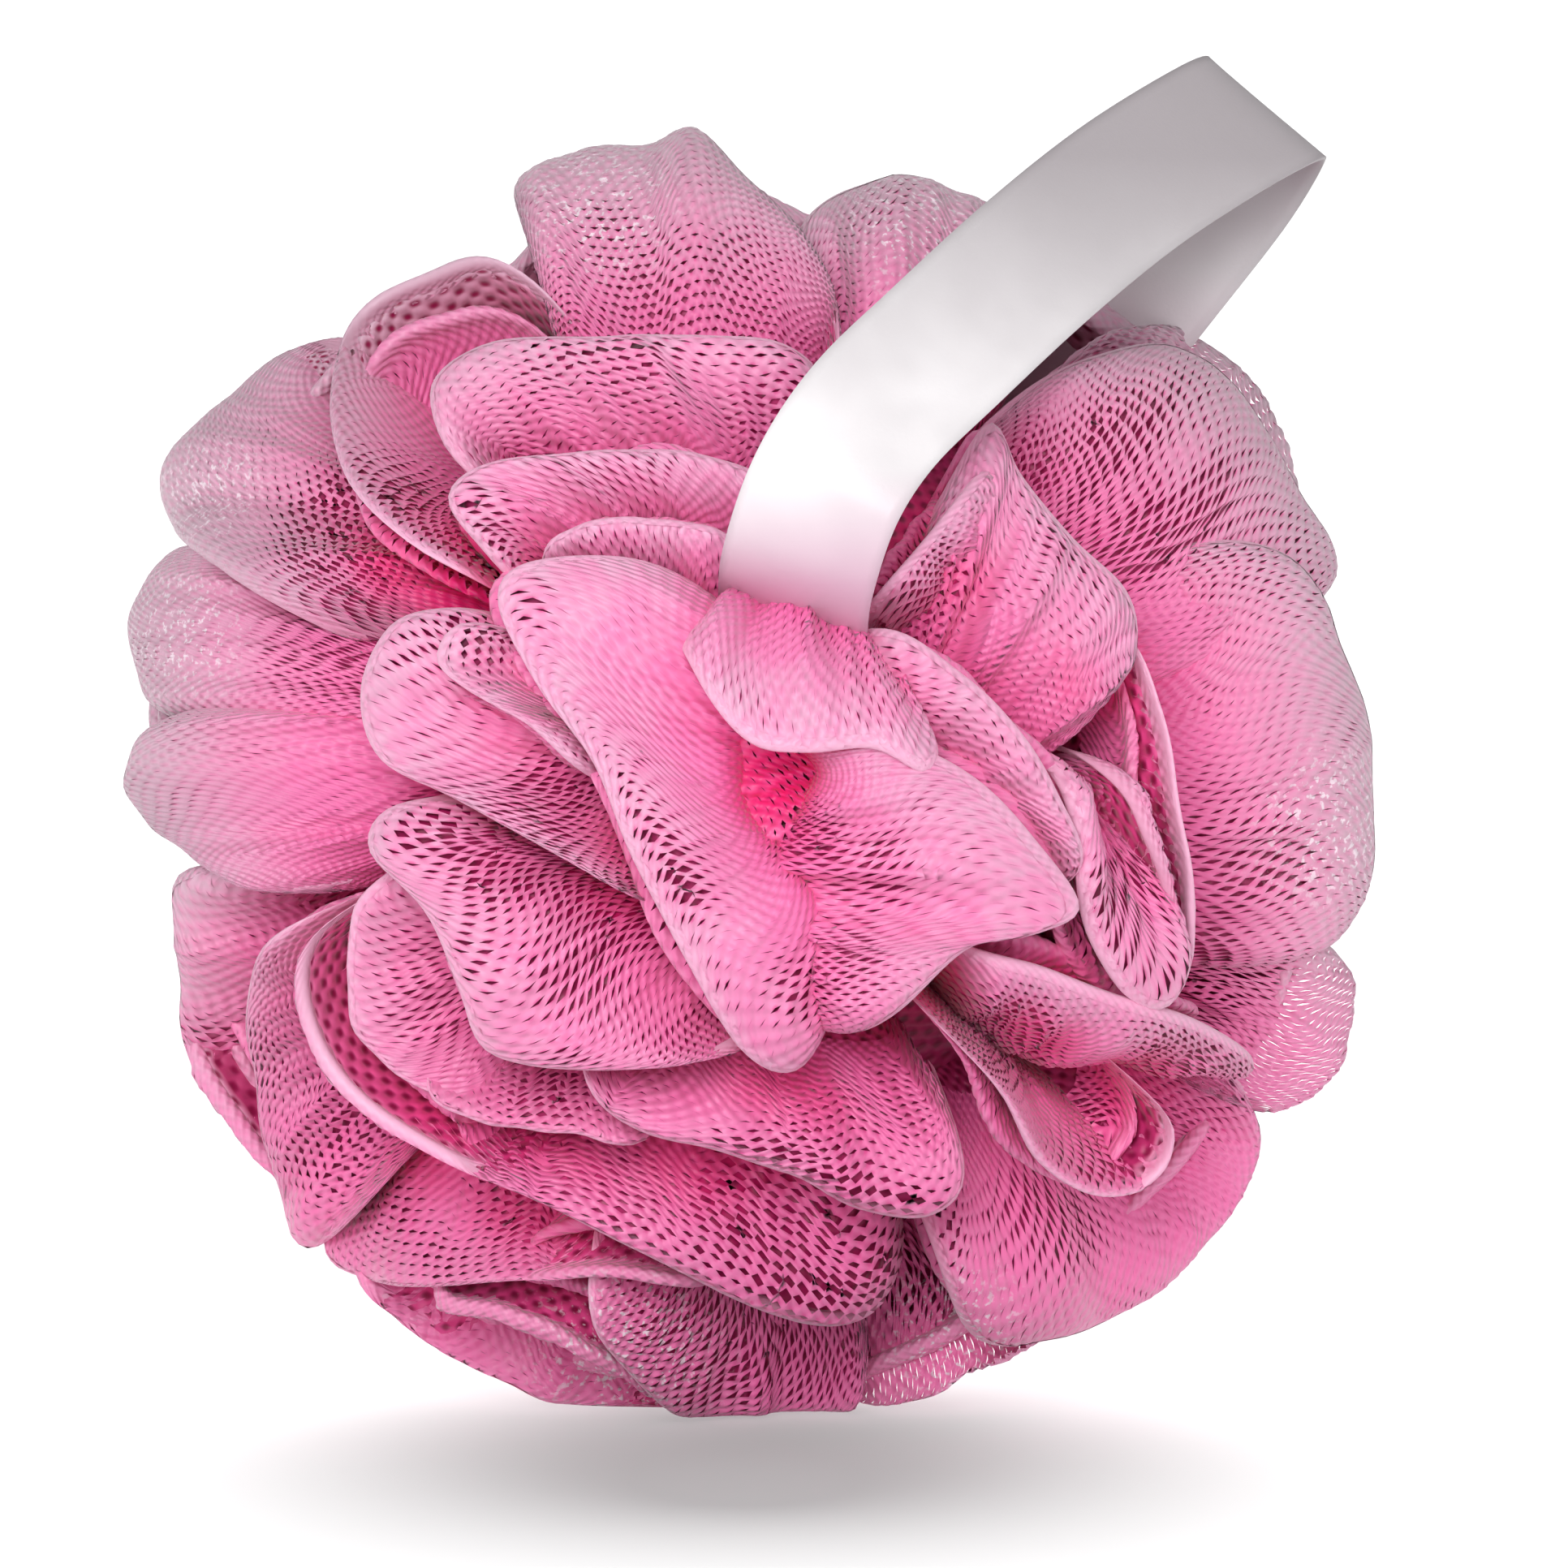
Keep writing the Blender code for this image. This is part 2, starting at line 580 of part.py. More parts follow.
def rest_block_mesh():
    """The block under the rest plane."""
    mesh = bmesh.new()
    bmesh.ops.create_cube(mesh, size=REST_BLOCK, matrix=Matrix.Translation((0, 0, -0.5 * REST_BLOCK)))
    data = bpy.data.meshes.new("rest_block")
    mesh.to_mesh(data)
    mesh.free()
    return data


def ribbon_strip(extra_width=0.0):
    """The ribbon as an open band: two edges either side of its path."""
    path = smooth_through([(*(MM * v for v in row[:3]), *row[3:]) for row in RIBBON_PATH], RIBBON_STEPS, closed=True)
    place, turn, spread = path[:, :3], np.radians(path[:, 3]), np.clip(path[:, 4], 0, 1)
    width = RIBBON_BUNCH + (RIBBON_WIDTH - RIBBON_BUNCH) * spread + extra_width
    ahead = np.roll(place, -1, axis=0) - np.roll(place, 1, axis=0)
    ahead /= np.linalg.norm(ahead, axis=1)[:, None]
    across = np.stack([np.cos(turn), np.zeros_like(turn), np.sin(turn)], axis=1)
    across -= ahead * (across * ahead).sum(1)[:, None]
    across /= np.linalg.norm(across, axis=1)[:, None]
    edges = np.stack([place - across * width[:, None] / 2, place + across * width[:, None] / 2], axis=1)
    return face_to_world(edges)


def band_object(name, edges, thickness, group, material=None):
    """A closed band of the given thickness from its two edges."""
    mesh = bmesh.new()
    verts = [[mesh.verts.new(point) for point in pair] for pair in edges]
    for here, there in zip(verts, verts[1:] + verts[:1]):
        mesh.faces.new((here[0], here[1], there[1], there[0]))
    data = bpy.data.meshes.new(name)
    mesh.to_mesh(data)
    mesh.free()
    band = add_object(name, data, group, material)
    shell = band.modifiers.new("thickness", "SOLIDIFY")
    shell.thickness = thickness
    shell.offset = 0
    shell.use_even_offset = True
    return band


def tie_mesh(cord, name):
    """Turns of cord side by side round the gathered netting, as one solid of revolution."""
    pitch = 0.8 * TIE_CORD
    reach = 0.5 * pitch * (TIE_TURNS - 1)
    outline = []
    for side in range(CORD_SIDES):
        angle = 2 * math.pi * side / CORD_SIDES + math.pi / CORD_SIDES
        shift = reach if math.sin(angle) > 0 else -reach
        outline.append((TIE_RADIUS + 0.5 * cord * math.cos(angle), shift + 0.5 * cord * math.sin(angle)))
    rings = []
    for step in range(RING_STEPS):
        turn = 2 * math.pi * step / RING_STEPS
        rings.append([(r * math.cos(turn), out, r * math.sin(turn)) for r, out in outline])
    return loft(name, face_to_world(np.array(rings)), closed_run=True)


def outer_shell(thing):
    """Bake an object's modifiers and keep only its largest closed surface."""
    graph = bpy.context.evaluated_depsgraph_get()
    data = bpy.data.meshes.new_from_object(thing.evaluated_get(graph))
    mesh = bmesh.new()
    mesh.from_mesh(data)
    unseen = set(mesh.faces)
    islands = []
    while unseen:
        front = [unseen.pop()]
        island = set(front)
        while front:
            for edge in front.pop().edges:
                for other in edge.link_faces:
                    if other in unseen:
                        unseen.discard(other)
                        island.add(other)
                        front.append(other)
        islands.append(island)
    largest = max(islands, key=len)
    drop = [face for face in mesh.faces if face not in largest]
    bmesh.ops.delete(mesh, geom=drop, context="FACES")
    bmesh.ops.triangulate(mesh, faces=mesh.faces)
    mesh.to_mesh(data)
    mesh.free()
    thing.modifiers.clear()
    thing.data = data


def part_folds(thing):
    """Move apart the corners that lie on one another where two folds meet along a line."""
    mesh = bmesh.new()
    mesh.from_mesh(thing.data)
    mesh.normal_update()
    places = {}
    for vert in mesh.verts:
        places.setdefault(tuple(round(x / (0.05 * FOLD_PART)) for x in vert.co), []).append(vert)
    for group in places.values():
        for k, vert in enumerate(group[1:]):
            vert.co += vert.normal * FOLD_PART * (k + 1)
    mesh.to_mesh(thing.data)
    mesh.free()


def combine(thing, operation, tools):
    """Boolean an object with a collection of closed shapes."""
    step = thing.modifiers.new(operation.lower(), "BOOLEAN")
    step.operation = operation
    step.operand_type = "COLLECTION"
    step.collection = tools
    step.solver = "MANIFOLD"


def build():
    clear_scene()
    pieces = new_collection("mesh_bath_pouf")
    petals = new_collection("petals")
    cutters = new_collection("cutters")

    net = principled("pink_net", NET_PINK, 0.45, 0.3)
    satin = principled("white_satin", SATIN_WHITE, 0.32, 0.2)
    cord = principled("tie_cord", TIE_WHITE, 0.6)

    for name, spec in FACE_PETALS.items():
        hide_tool(add_object(name, face_petal(name, spec), petals))
    for name, data in back_petals():
        hide_tool(add_object(name, data, petals))
    hide_tool(add_object("foot", foot_mesh(), petals))

    netting = add_object("netting", ball_mesh("core", CORE_RADIUS, 0, 3), pieces, net)
    combine(netting, "UNION", petals)
    outer_shell(netting)
    thin = netting.modifiers.new("thin", "DECIMATE")
    thin.ratio = min(1.0, NET_FACETS / len(netting.data.polygons))

    channel = ribbon_strip(extra_width=2 * CLEARANCE)
    hide_tool(band_object("ribbon_channel", channel, RIBBON_THICKNESS + 2 * CLEARANCE, cutters))
    hide_tool(add_object("tie_channel", tie_mesh(TIE_CORD + 2 * CLEARANCE, "tie_channel"), cutters))
    hide_tool(add_object("heart_hollow", ball_mesh("heart_hollow", HEART_HOLLOW, HEART_RISE, 2), cutters))
    hide_tool(add_object("rest_block", rest_block_mesh(), cutters))
    combine(netting, "DIFFERENCE", cutters)
    outer_shell(netting)
    part_folds(netting)

    band_object("ribbon_loop", ribbon_strip(), RIBBON_THICKNESS, pieces, satin)
    add_object("core_tie", tie_mesh(TIE_CORD, "core_tie"), pieces, cord)


build()
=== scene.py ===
"""Mesh bath pouf: folds of open pink netting and a satin ribbon loop, in a white studio.

Metres, +Z up. Tables of folds are in millimetres in the plane of the face: across, up.
"""

import math
import random

import bpy
import numpy as np
from mathutils import Euler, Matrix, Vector


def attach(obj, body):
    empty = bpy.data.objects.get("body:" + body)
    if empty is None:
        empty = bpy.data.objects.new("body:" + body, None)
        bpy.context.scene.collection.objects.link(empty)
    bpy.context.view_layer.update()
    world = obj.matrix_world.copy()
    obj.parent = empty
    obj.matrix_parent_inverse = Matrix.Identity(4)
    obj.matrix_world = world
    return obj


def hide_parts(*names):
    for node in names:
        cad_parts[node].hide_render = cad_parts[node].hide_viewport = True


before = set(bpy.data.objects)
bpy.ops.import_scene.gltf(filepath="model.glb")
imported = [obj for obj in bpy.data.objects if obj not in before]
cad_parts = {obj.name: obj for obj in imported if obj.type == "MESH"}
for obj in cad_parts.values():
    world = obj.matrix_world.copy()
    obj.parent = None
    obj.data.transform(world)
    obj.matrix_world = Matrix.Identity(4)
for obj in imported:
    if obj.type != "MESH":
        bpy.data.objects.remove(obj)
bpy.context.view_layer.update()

MM = 0.001

# Driving dimensions, as in the CAD frame
POUF_RADIUS = 0.0620  # ball that the fold rims lie on
REST_HEIGHT = 0.0625
FACE_TILT = math.radians(5.0)  # the face looks up by this angle
CORE_RADIUS = 0.0430
UNDER_SAG = 0.0042
NET_FOLD = 0.0008  # half the thickness of a folded rim
FOOT_ROUNDING = 0.0014  # how softly the underside bends into its flat spot
RIBBON_WIDTH = 0.0150
RIBBON_BUNCH = 0.0060
NET_WIDTH = 0.190  # of the tube of net, opened flat

# The net: a hole's pitch along its length and across it, and how far its ends stand over its sides
HOLE_LONG = 2.0 * MM
HOLE_SHORT = 0.93 * MM
STRAND_RELIEF = 0.10 * MM
STRAND_BUMP = 0.18 * MM  # shaded thickness of the strands
BACK_COARSER = 1.35  # pitch of the net away from the face, over that in the face
LINING_DEPTH = 0.55 * MM  # second layer of net behind the outer one
LINING_TRIM = 2  # columns of the second layer left off at each end
GRID = 0.9 * MM  # spacing of the smooth surface that the net is laid on
SECTION_ROWS = 56
CURVE_STEPS = 12  # between two points of a curve
STATION_STEPS = 8  # between two stations of a fold
# Shares of the way from rim to seat between which a fold can be seen; its hidden side is below 0
SHOWN_FROM = -0.34
SHOWN_TO = 1.22
RIM_SHARE = 0.055  # of that way, each side of the rim, where the net lies gathered into a band
RIM_ROWS = 9
RIM_PROUD = 0.03 * MM
PLY_GAP = 3.0 * MM  # how far the next layer's rim shows beyond a fold's rim
PLY_DROP = 4.0 * MM  # and how far it lies below
PLY_PALE = 0.35  # painted shade: how pale it is, beside the fold, where it lies lower
PLY_OPEN = 0.2
PLY_COARSER = 1.1
FAINT_RIM = 0.3  # share of a rim's paleness that a faint one has

# How the sheets of net hang: waves along a fold and their height in mm, and shares of a fold's reach
PLEATS = [(4, 0.9), (6.5, 0.8), (9, 0.6), (14, 0.42), (21, 0.28)]
UNEVEN = (0.7, 1.3)  # range of chance in the pleats
ANY_PHASE = (0, 6.3)
END_TUCK = 0.18  # how far a fold draws back at its two ends
RIM_WAVE = 0.6 * MM

# The gaps of the net: least and most, their slow and quick unevenness with its scale in mm, and how far
# a hole strays from its place, in pitches
GAP_RANGE = (0.03, 0.90)
SLOW_UNEVEN = 0.55
SLOW_SCALE = 2.6
QUICK_UNEVEN = 0.07
QUICK_SCALE = 1.4
HOLE_STRAY = 0.16
GAP_CHANCE = (0.6, 0.8)  # least share of its gap that a hole has, and what chance adds
HOLE_FADE = (0.04, 0.10)  # share of the way from the rim where holes begin, and over which they grow
HALF_LONG = (0.30, 0.16, 0.08)  # half a hole's length in pitches: shut, what its gap adds, and chance
HALF_SHORT = (0.42, 0.004)  # and half its breadth: what its gap adds, and shut
RELIEF_SHUT = 0.45  # share of the strands' relief where the net is shut
RELIEF_GAP = 0.5  # gap that would add a whole relief to that
# Pitch of the gathered net that is drawn as a plain layer: along the rim, and from rim to seat
BAND_PITCH = (0.7 * MM, 1.2 * MM)
LAYER_PITCH = (1.2 * MM, 2.2 * MM)
BAND_GAP = 0.02
LAYER_GAP = 0.55
CORE_GAP = 0.5
CORE_SHARE = 0.8  # painted shade: the core is as deep pink as a fold is this far towards its seat
CORE_STEPS = (49, 97)

# Chance: first numbers of the seeds
PLY_SEED = 500
NET_SEED = 100

# Where the net is stretched open: across and up, radius of the patch, how open
OPEN_PATCHES = [
    (-32, 20, 9, 0.80), (-39, 24, 6, 0.75), (-27, 17, 6, 0.80), (-41, 12, 6, 0.45), (-13, 46, 9, 0.40),
    (2, 46, 7, 0.45), (-14, 35, 9, 0.30), (4, 33, 7, 0.35), (38, 28, 9, 0.80), (29, 30, 4, 0.60),
    (48, 20, 8, 0.25), (16, 18, 6, 0.50), (37, -13, 6, 0.70), (47, -8, 8, 0.55), (46, -21, 8, 0.65),
    (6, -6, 3.5, 0.70), (12, -9, 4, 0.50), (8, -19, 5, 0.45), (-20, -7, 9, 0.65), (-12, -11, 7, 0.80),
    (-30, -6, 4, 0.75), (-14, -16, 7, 0.80), (-7, -22, 5, 0.50), (-30, -20, 6, 0.45), (4, -45, 11, 0.75),
    (-10, -42, 6, 0.45), (14, -46, 7, 0.70), (-27, -42, 10, 0.35), (-3, -54, 9, 0.65), (6, -55, 7, 0.60),
    (-41, -35, 6, 0.50), (-51, -30, 6, 0.50), (35, -35, 6, 0.55), (43, -30, 6, 0.55), (29, -44, 6, 0.55),
    (23, -26, 6, 0.65), (12, -33, 6, 0.30), (-18, -31, 5, 0.45),
]
PATCH_SOFTNESS = 0.75
PATCH_STRENGTH = 1.35
CLOSED_SHARE = 0.45  # of a fold's own openness, away from the patches

# Painted glints: white specks painted where the net catches the light and the white backdrop shows through:
# across and up, radius
PAINTED_GLINT_PATCHES = [
    (-53, 28, 5), (-56, 14, 6), (-15, 56, 7), (16, 55, 7), (58, -5, 7), (-12, -57, 8), (20, -55, 6),
]

# Painted glow: hollows painted a hot pink where the light has passed through many layers: across and up,
# radius, how strongly
PAINTED_GLOW_PATCHES = [
    (-26, 18.5, 7, 1.0), (-33, 21, 5, 0.8), (2.5, 0, 6, 1.0), (17, -20, 4, 0.8), (18, 22, 5, 1.0),
    (-20, -40, 7, 0.6), (-5, -37, 6, 0.6), (-30, -36, 5, 0.5), (-27, -4, 5, 0.5), (-11, -9, 5, 0.6),
    (34, 10, 4, 1.0), (30, -22, 5, 1.0), (3, -33, 6, 0.7), (38, -30, 4, 0.5),
]
PAINTED_GLOW_DEPTH = 5  # mm below the ball where the painted glow is full

# The petals that show in the face: rim points, then seat points where the petal goes under the next one.
# lift: height of the rim over the ball; sink: depth of the seat under it; crown: bulge between the two;
# grain: which way the holes are long, "rim" where it isn't towards the seat; open: how open the net is;
# pleating: how deep its pleats are, over the usual; tucked: how far the rim goes under at its two ends;
# fringe: a single layer that light shows through; deep: a fold seen only at the bottom of a gap, in painted
# shade;
# faint: its rim is hardly paler than the net beside it; single: no next layer shows beyond its rim.
FACE_PETALS = {
    "top": dict(
        rim=[(-20, 49), (-22.5, 57), (-16, 60.5), (-10, 61), (-5, 62.5), (0, 57.5), (5, 52), (10.5, 44)],
        seat=[(-20, 42), (-8, 39), (2, 39), (9, 41)],
        lift=0.5, sink=8, crown=3.0, grain="rim", open=0.10, pleating=0.4,
    ),
    "top_right": dict(
        rim=[(3, 49), (7, 55), (13, 58.2), (19, 57.3), (26, 54), (32, 47)],
        seat=[(7, 42), (14, 41), (22, 42), (28, 40)],
        lift=-1.0, sink=8, crown=2.0, grain="rim", open=0.22,
    ),
    "upper_left_cup": dict(
        rim=[
            (-18, 49), (-26, 50.3), (-34, 48), (-39, 43.5),
            (-40, 36), (-38, 28.5), (-32, 22.5), (-24, 18.5),
        ],
        seat=[(-22, 43), (-28, 41), (-30, 35), (-28, 29), (-23, 22)],
        lift=0.5, sink=13, crown=-1.5, open=0.10,
    ),
    "upper_shelf": dict(
        rim=[(10, 40), (0, 41.3), (-12, 41.6), (-24, 41.6), (-29.6, 38), (-29.3, 33), (-26, 29.5)],
        seat=[(7, 30), (-2, 29), (-12, 29.5), (-20, 30), (-24, 30.5)],
        lift=1.0, sink=8, crown=1.5, grain="rim", open=0.25,
    ),
    "upper_band": dict(
        rim=[(5, 26), (0, 29), (-8, 30.6), (-17, 30.2), (-25, 29.2), (-28, 26), (-24.5, 21.5), (-21, 18)],
        seat=[(2, 21), (-7, 22), (-14, 21.5), (-18, 20), (-19, 18)],
        lift=1.0, sink=7, crown=1.5, open=0.10,
    ),
    "brow": dict(
        rim=[(1, 21.5), (-5, 23.2), (-11, 24), (-17, 22.8), (-21.5, 19.5)],
        seat=[(0, 16), (-7, 17), (-14, 17), (-19, 16)],
        lift=1.0, sink=6, crown=0.5, open=0.35,
    ),
    "left_upper": dict(
        rim=[
            (-35, 46), (-40, 45), (-44, 43), (-49, 39), (-54, 34),
            (-57.8, 29), (-56, 24), (-51, 20), (-44, 15),
        ],
        seat=[(-34, 38), (-36, 35), (-34, 29), (-30, 25), (-26, 20), (-21, 15)],
        lift=0.0, sink=13, crown=1.5, grain="rim", open=0.06, pleating=0.5, tucked=(6, 2.5),
    ),
    "left_middle": dict(
        rim=[(-50, 23), (-56, 22), (-59.6, 17), (-59.6, 10), (-57, 4)],
        seat=[(-38, 18), (-34, 14), (-32, 10), (-33, 4)],
        lift=-0.5, sink=12, crown=2.0, open=0.12, pleating=0.5, tucked=(3, 0),
    ),
    "left_lower": dict(
        rim=[(-55, 8), (-60.6, 1), (-59, -4), (-53, -8), (-46, -12.5)],
        seat=[(-36, 7), (-34, 1), (-34, -4), (-38, -12)],
        lift=0.5, sink=11, crown=2.0, open=0.15,
    ),
    "left_tongue": dict(
        rim=[
            (-22, 15.5), (-28, 15.8), (-33.5, 14), (-36.3, 8),
            (-34.5, 1.5), (-27, -2.5), (-18, -7.5), (-7, -14),
        ],
        seat=[(-20, 11), (-17, 6), (-13, 0), (-9, -7), (-5, -14)],
        lift=0.5, sink=8, crown=2.0, open=0.30,
    ),
    "left_knob": dict(
        rim=[(-22, 14.5), (-27, 14), (-29, 11), (-26, 8), (-20, 4.5), (-14, -1)],
        seat=[(-18, 11), (-14, 6), (-10, 1)],
        lift=2.0, sink=5, crown=0.5, grain="rim", open=0.05,
    ),
    "lower_tongue": dict(
        rim=[
            (-27, -2), (-34, -3.5), (-35.5, -7.5), (-30, -13), (-27, -20),
            (-24, -26.5), (-14, -28), (-4, -27), (3, -27),
        ],
        seat=[(-20, -6), (-13, -10), (-7, -14), (-3, -20), (2, -25)],
        lift=1.5, sink=8, crown=2.5, open=0.12,
    ),
    "inner_left": dict(
        rim=[(-33, -8), (-37, -13), (-38, -19), (-37, -25), (-32, -29.5), (-24, -32.5)],
        seat=[(-26, -12), (-26, -18), (-24, -24), (-20, -27)],
        lift=-1.5, sink=9, crown=-0.5, open=0.30,
    ),
    "swoop": dict(
        rim=[
            (-38, -11), (-43, -17), (-42, -25), (-36, -32.5), (-27, -37.7),
            (-15, -42.5), (-5, -47.3), (6, -52), (17, -53.5),
        ],
        seat=[(-37, -12), (-39, -18), (-37, -26), (-28, -32), (-16, -34), (-3, -36), (8, -39), (17, -41)],
        lift=0.5, sink=8, crown=1.0, grain="rim", open=0.12,
    ),
    "left_fin": dict(
        rim=[(-43, -13.5), (-47, -17.5), (-48, -25), (-47.3, -33), (-45.5, -40), (-42.5, -46), (-36, -41)],
        seat=[(-40, -16), (-39, -24), (-35, -31), (-30, -35)],
        lift=-0.5, sink=9, crown=1.0, grain="rim", open=0.25,
    ),
    "left_flap": dict(
        rim=[
            (-48, -9), (-55.4, -10.5), (-55.2, -17), (-54.8, -25),
            (-51, -32.5), (-45.5, -41), (-42, -45.5),
        ],
        seat=[(-44, -11), (-44, -18), (-44, -26), (-42, -33), (-38, -39)],
        lift=0.0, sink=10, crown=1.5, open=0.22, tucked=(0, 3), faint=True,
    ),
    "lower_left_band": dict(
        rim=[(-45, -44), (-41, -47.5), (-34, -48.4), (-22, -47.8), (-10, -47.8), (0, -50)],
        seat=[(-38, -39), (-30, -36), (-20, -39), (-9, -43), (2, -47)],
        lift=-1.0, sink=10, crown=-0.5, grain="rim", open=0.30, faint=True,
    ),
    "bottom_left": dict(
        rim=[(-42, -46), (-36.5, -49.5), (-31, -53.5), (-24, -56.5), (-15, -60), (-8, -61.8), (0, -62.4)],
        seat=[(-34, -44), (-24, -46), (-14, -49), (-5, -52), (3, -53)],
        lift=0.0, sink=10, crown=1.5, grain="rim", open=0.10, faint=True,
    ),
    "bottom": dict(
        rim=[(-16, -48), (-13.5, -53), (-9, -57.5), (-3, -61.5), (6, -61.8), (13, -59)],
        seat=[(-9, -44), (-3, -46), (4, -49), (12, -50)],
        lift=0.5, sink=9, crown=1.5, open=0.30,
    ),
    "bottom_right_flap": dict(
        rim=[(8, -60.5), (14, -58.8), (20, -56.4), (26, -54), (32, -51)],
        seat=[(9, -50), (16, -48), (24, -46), (30, -43)],
        lift=-1.0, sink=10, crown=1.0, open=0.60, fringe=True,
    ),
    "lower_band": dict(
        rim=[
            (-18, -28), (-12, -32.5), (-4, -35), (4, -37.7),
            (10, -40.6), (16, -41.8), (20.5, -39.5), (21.5, -34),
        ],
        seat=[(-12, -27), (-3, -26), (4, -28), (11, -29), (18, -29)],
        lift=0.5, sink=7, crown=1.5, grain="rim", open=0.25,
    ),
    "lower_lip": dict(
        rim=[(-33, -29), (-28, -32), (-21, -33.6), (-14, -34.4), (-8, -36.5)],
        seat=[(-28, -27), (-20, -27), (-13, -28), (-6, -31)],
        lift=-0.5, sink=8, crown=0.0, grain="rim", open=0.15,
    ),
    "star_left": dict(
        rim=[
            (-4, 20.5), (-12, 20.8), (-21, 19.8), (-23.2, 16), (-19.5, 8.5), (-14, 1),
            (-10, -8), (-5, -17.5), (0, -26), (5, -29), (10, -26.5),
        ],
        seat=[(2, 15), (-0.5, 9), (-2, 3), (-1, -3), (3, -8), (8, -15), (10, -20)],
        lift=3.0, sink=1.0, crown=1.0, open=0.06, pleating=0.8,
    ),
    "star_right": dict(
        rim=[
            (5, 3), (13, 3), (21, -0.5), (27, -6.5), (31, -12.5),
            (27, -15), (20.5, -16.5), (14, -22.5), (8, -28),
        ],
        seat=[(7, 1), (6, -3), (4, -7), (3, -12), (3.5, -19), (4, -24)],
        lift=2.5, sink=1.5, crown=2.0, open=0.15,
    ),
    "centre_flap": dict(
        rim=[(-7, 15), (-3, 7.5), (1, 3.5), (6, 2.8), (12, 3.2), (17, 1), (20, 5)],
        seat=[(-3, 19), (2, 17.5), (7, 16), (12, 14), (15, 10)],
        lift=4.0, sink=1.0, crown=1.0, open=0.35, single=True,
    ),
    "right_strip": dict(
        rim=[(11, 15), (17, 11.5), (22, 7.5), (26, 3), (29, -2), (31.5, -8), (31, -13)],
        seat=[(9, 8), (14, 3), (19, -1), (25, -6), (28, -11)],
        lift=1.5, sink=5, crown=1.0, grain="rim", open=0.35,
    ),
    "right_fan": dict(
        rim=[(17, 23), (23, 33), (26, 28), (31, 22), (36, 17), (37, 12), (34, 6)],
        seat=[(14, 16), (18, 13), (23, 9), (27, 4), (30, -1)],
        lift=0.5, sink=6, crown=2.0, grain="rim", open=0.30, pleating=1.6,
    ),
    "right_tongue": dict(
        rim=[
            (30, 4), (31.5, -4), (32.5, -13), (36, -20), (40, -22),
            (42, -18), (40.5, -11), (38, -4), (36.8, 3),
        ],
        seat=[(32, 2), (33.5, -3), (35, -7), (36, -3), (35, 2)],
        lift=0.5, sink=4, crown=2.0, open=0.25,
    ),
    "right_ridge": dict(
        rim=[(27, 16), (33, 15.6), (37.5, 12), (40, 5), (41.3, -3), (43, -12), (42.8, -19), (40, -24)],
        seat=[(29, 10), (33, 9), (35, 4), (36, -4), (38, -12), (38, -19)],
        lift=0.5, sink=10, crown=-2.0, grain="rim", open=0.15,
    ),
    "upper_right": dict(
        rim=[(26, 38), (33, 40), (40, 41.6), (46, 38.5), (50.5, 32.5), (54, 27), (57.4, 21), (56, 14)],
        seat=[(24, 30), (29, 24), (34, 18), (38, 12), (40, 7)],
        lift=0.0, sink=10, crown=2.5, open=0.18, pleating=0.8,
    ),
    "upper_right_back": dict(
        rim=[(33, 44), (42, 43.2), (48.5, 39), (52.3, 33.5), (53.8, 28), (55, 22)],
        seat=[(30, 36), (36, 34), (41, 28), (44, 22)],
        lift=-1.0, sink=9, crown=1.0, grain="rim", open=0.65, fringe=True,
    ),
    "right_middle": dict(
        rim=[(45, 25), (53, 20.5), (57.5, 12.5), (60, 5), (60.6, -3), (59.8, -11), (57, -20)],
        seat=[(37, 17), (40, 11), (41, 4), (42, -5), (43, -14), (41, -21)],
        lift=0.0, sink=11, crown=2.0, open=0.15, pleating=0.6,
    ),
    "right_lower": dict(
        rim=[(57, -15), (59.2, -21), (58, -27.5), (54, -31.7), (48, -34)],
        seat=[(44, -17), (44, -22), (42, -26), (39, -29)],
        lift=-0.5, sink=10, crown=1.0, open=0.55, fringe=True,
    ),
    "right_wing": dict(
        rim=[(19, -17), (27, -18.7), (35, -21.7), (43, -24.3), (49, -28), (51, -32)],
        seat=[(20, -23), (25, -27), (32, -29), (39, -29), (45, -31)],
        lift=0.0, sink=7, crown=0.5, grain="rim", open=0.20,
    ),
    "curl": dict(
        rim=[
            (15, -21), (20.5, -26), (25, -31), (28.5, -37),
            (34, -40), (39.5, -39), (41.5, -34.5), (38.5, -30),
        ],
        seat=[(19, -22), (25, -27), (29, -31), (33, -32.5), (36, -32), (36.5, -30)],
        lift=1.0, sink=10, crown=-2.0, open=0.15,
    ),
    "lower_right": dict(
        rim=[
            (51, -30), (50, -36), (46.5, -42), (41.5, -48),
            (35, -51.6), (28, -53.2), (21.5, -52.8), (19, -46),
        ],
        seat=[(42, -28), (38, -34), (32, -37), (26, -35), (20, -36)],
        lift=0.0, sink=10, crown=2.0, open=0.18,
    ),
    "heart_fill": dict(
        rim=[(-9, 9), (-6, 5), (-4.5, 0), (-3, -5), (1, -11)],
        seat=[(3, 11), (6, 6), (8, 0), (9, -5), (10, -11)],
        lift=-4.5, sink=4, crown=0.0, grain="rim", open=0.60, deep=True,
    ),
    "fan_rib": dict(
        rim=[(13, 17), (17, 21.5), (21, 26.5), (24.5, 31)],
        seat=[(17, 14), (21, 18), (25, 22), (28, 26)],
        lift=1.6, sink=6, crown=0.5, grain="rim", open=0.45,
    ),
    "bottom_left_inner": dict(
        rim=[(-33, -49.5), (-27, -50.5), (-20, -52), (-12, -56), (-6, -60.5)],
        seat=[(-28, -45), (-20, -47), (-12, -49), (-5, -53)],
        lift=0.0, sink=9, crown=1.0, grain="rim", open=0.20, faint=True,
    ),
}

UPPER_FROM = 17  # height in mm from which a fold belongs to the upper piece of the face
MAP_MARGIN = 0.03  # round each fold on its piece's map

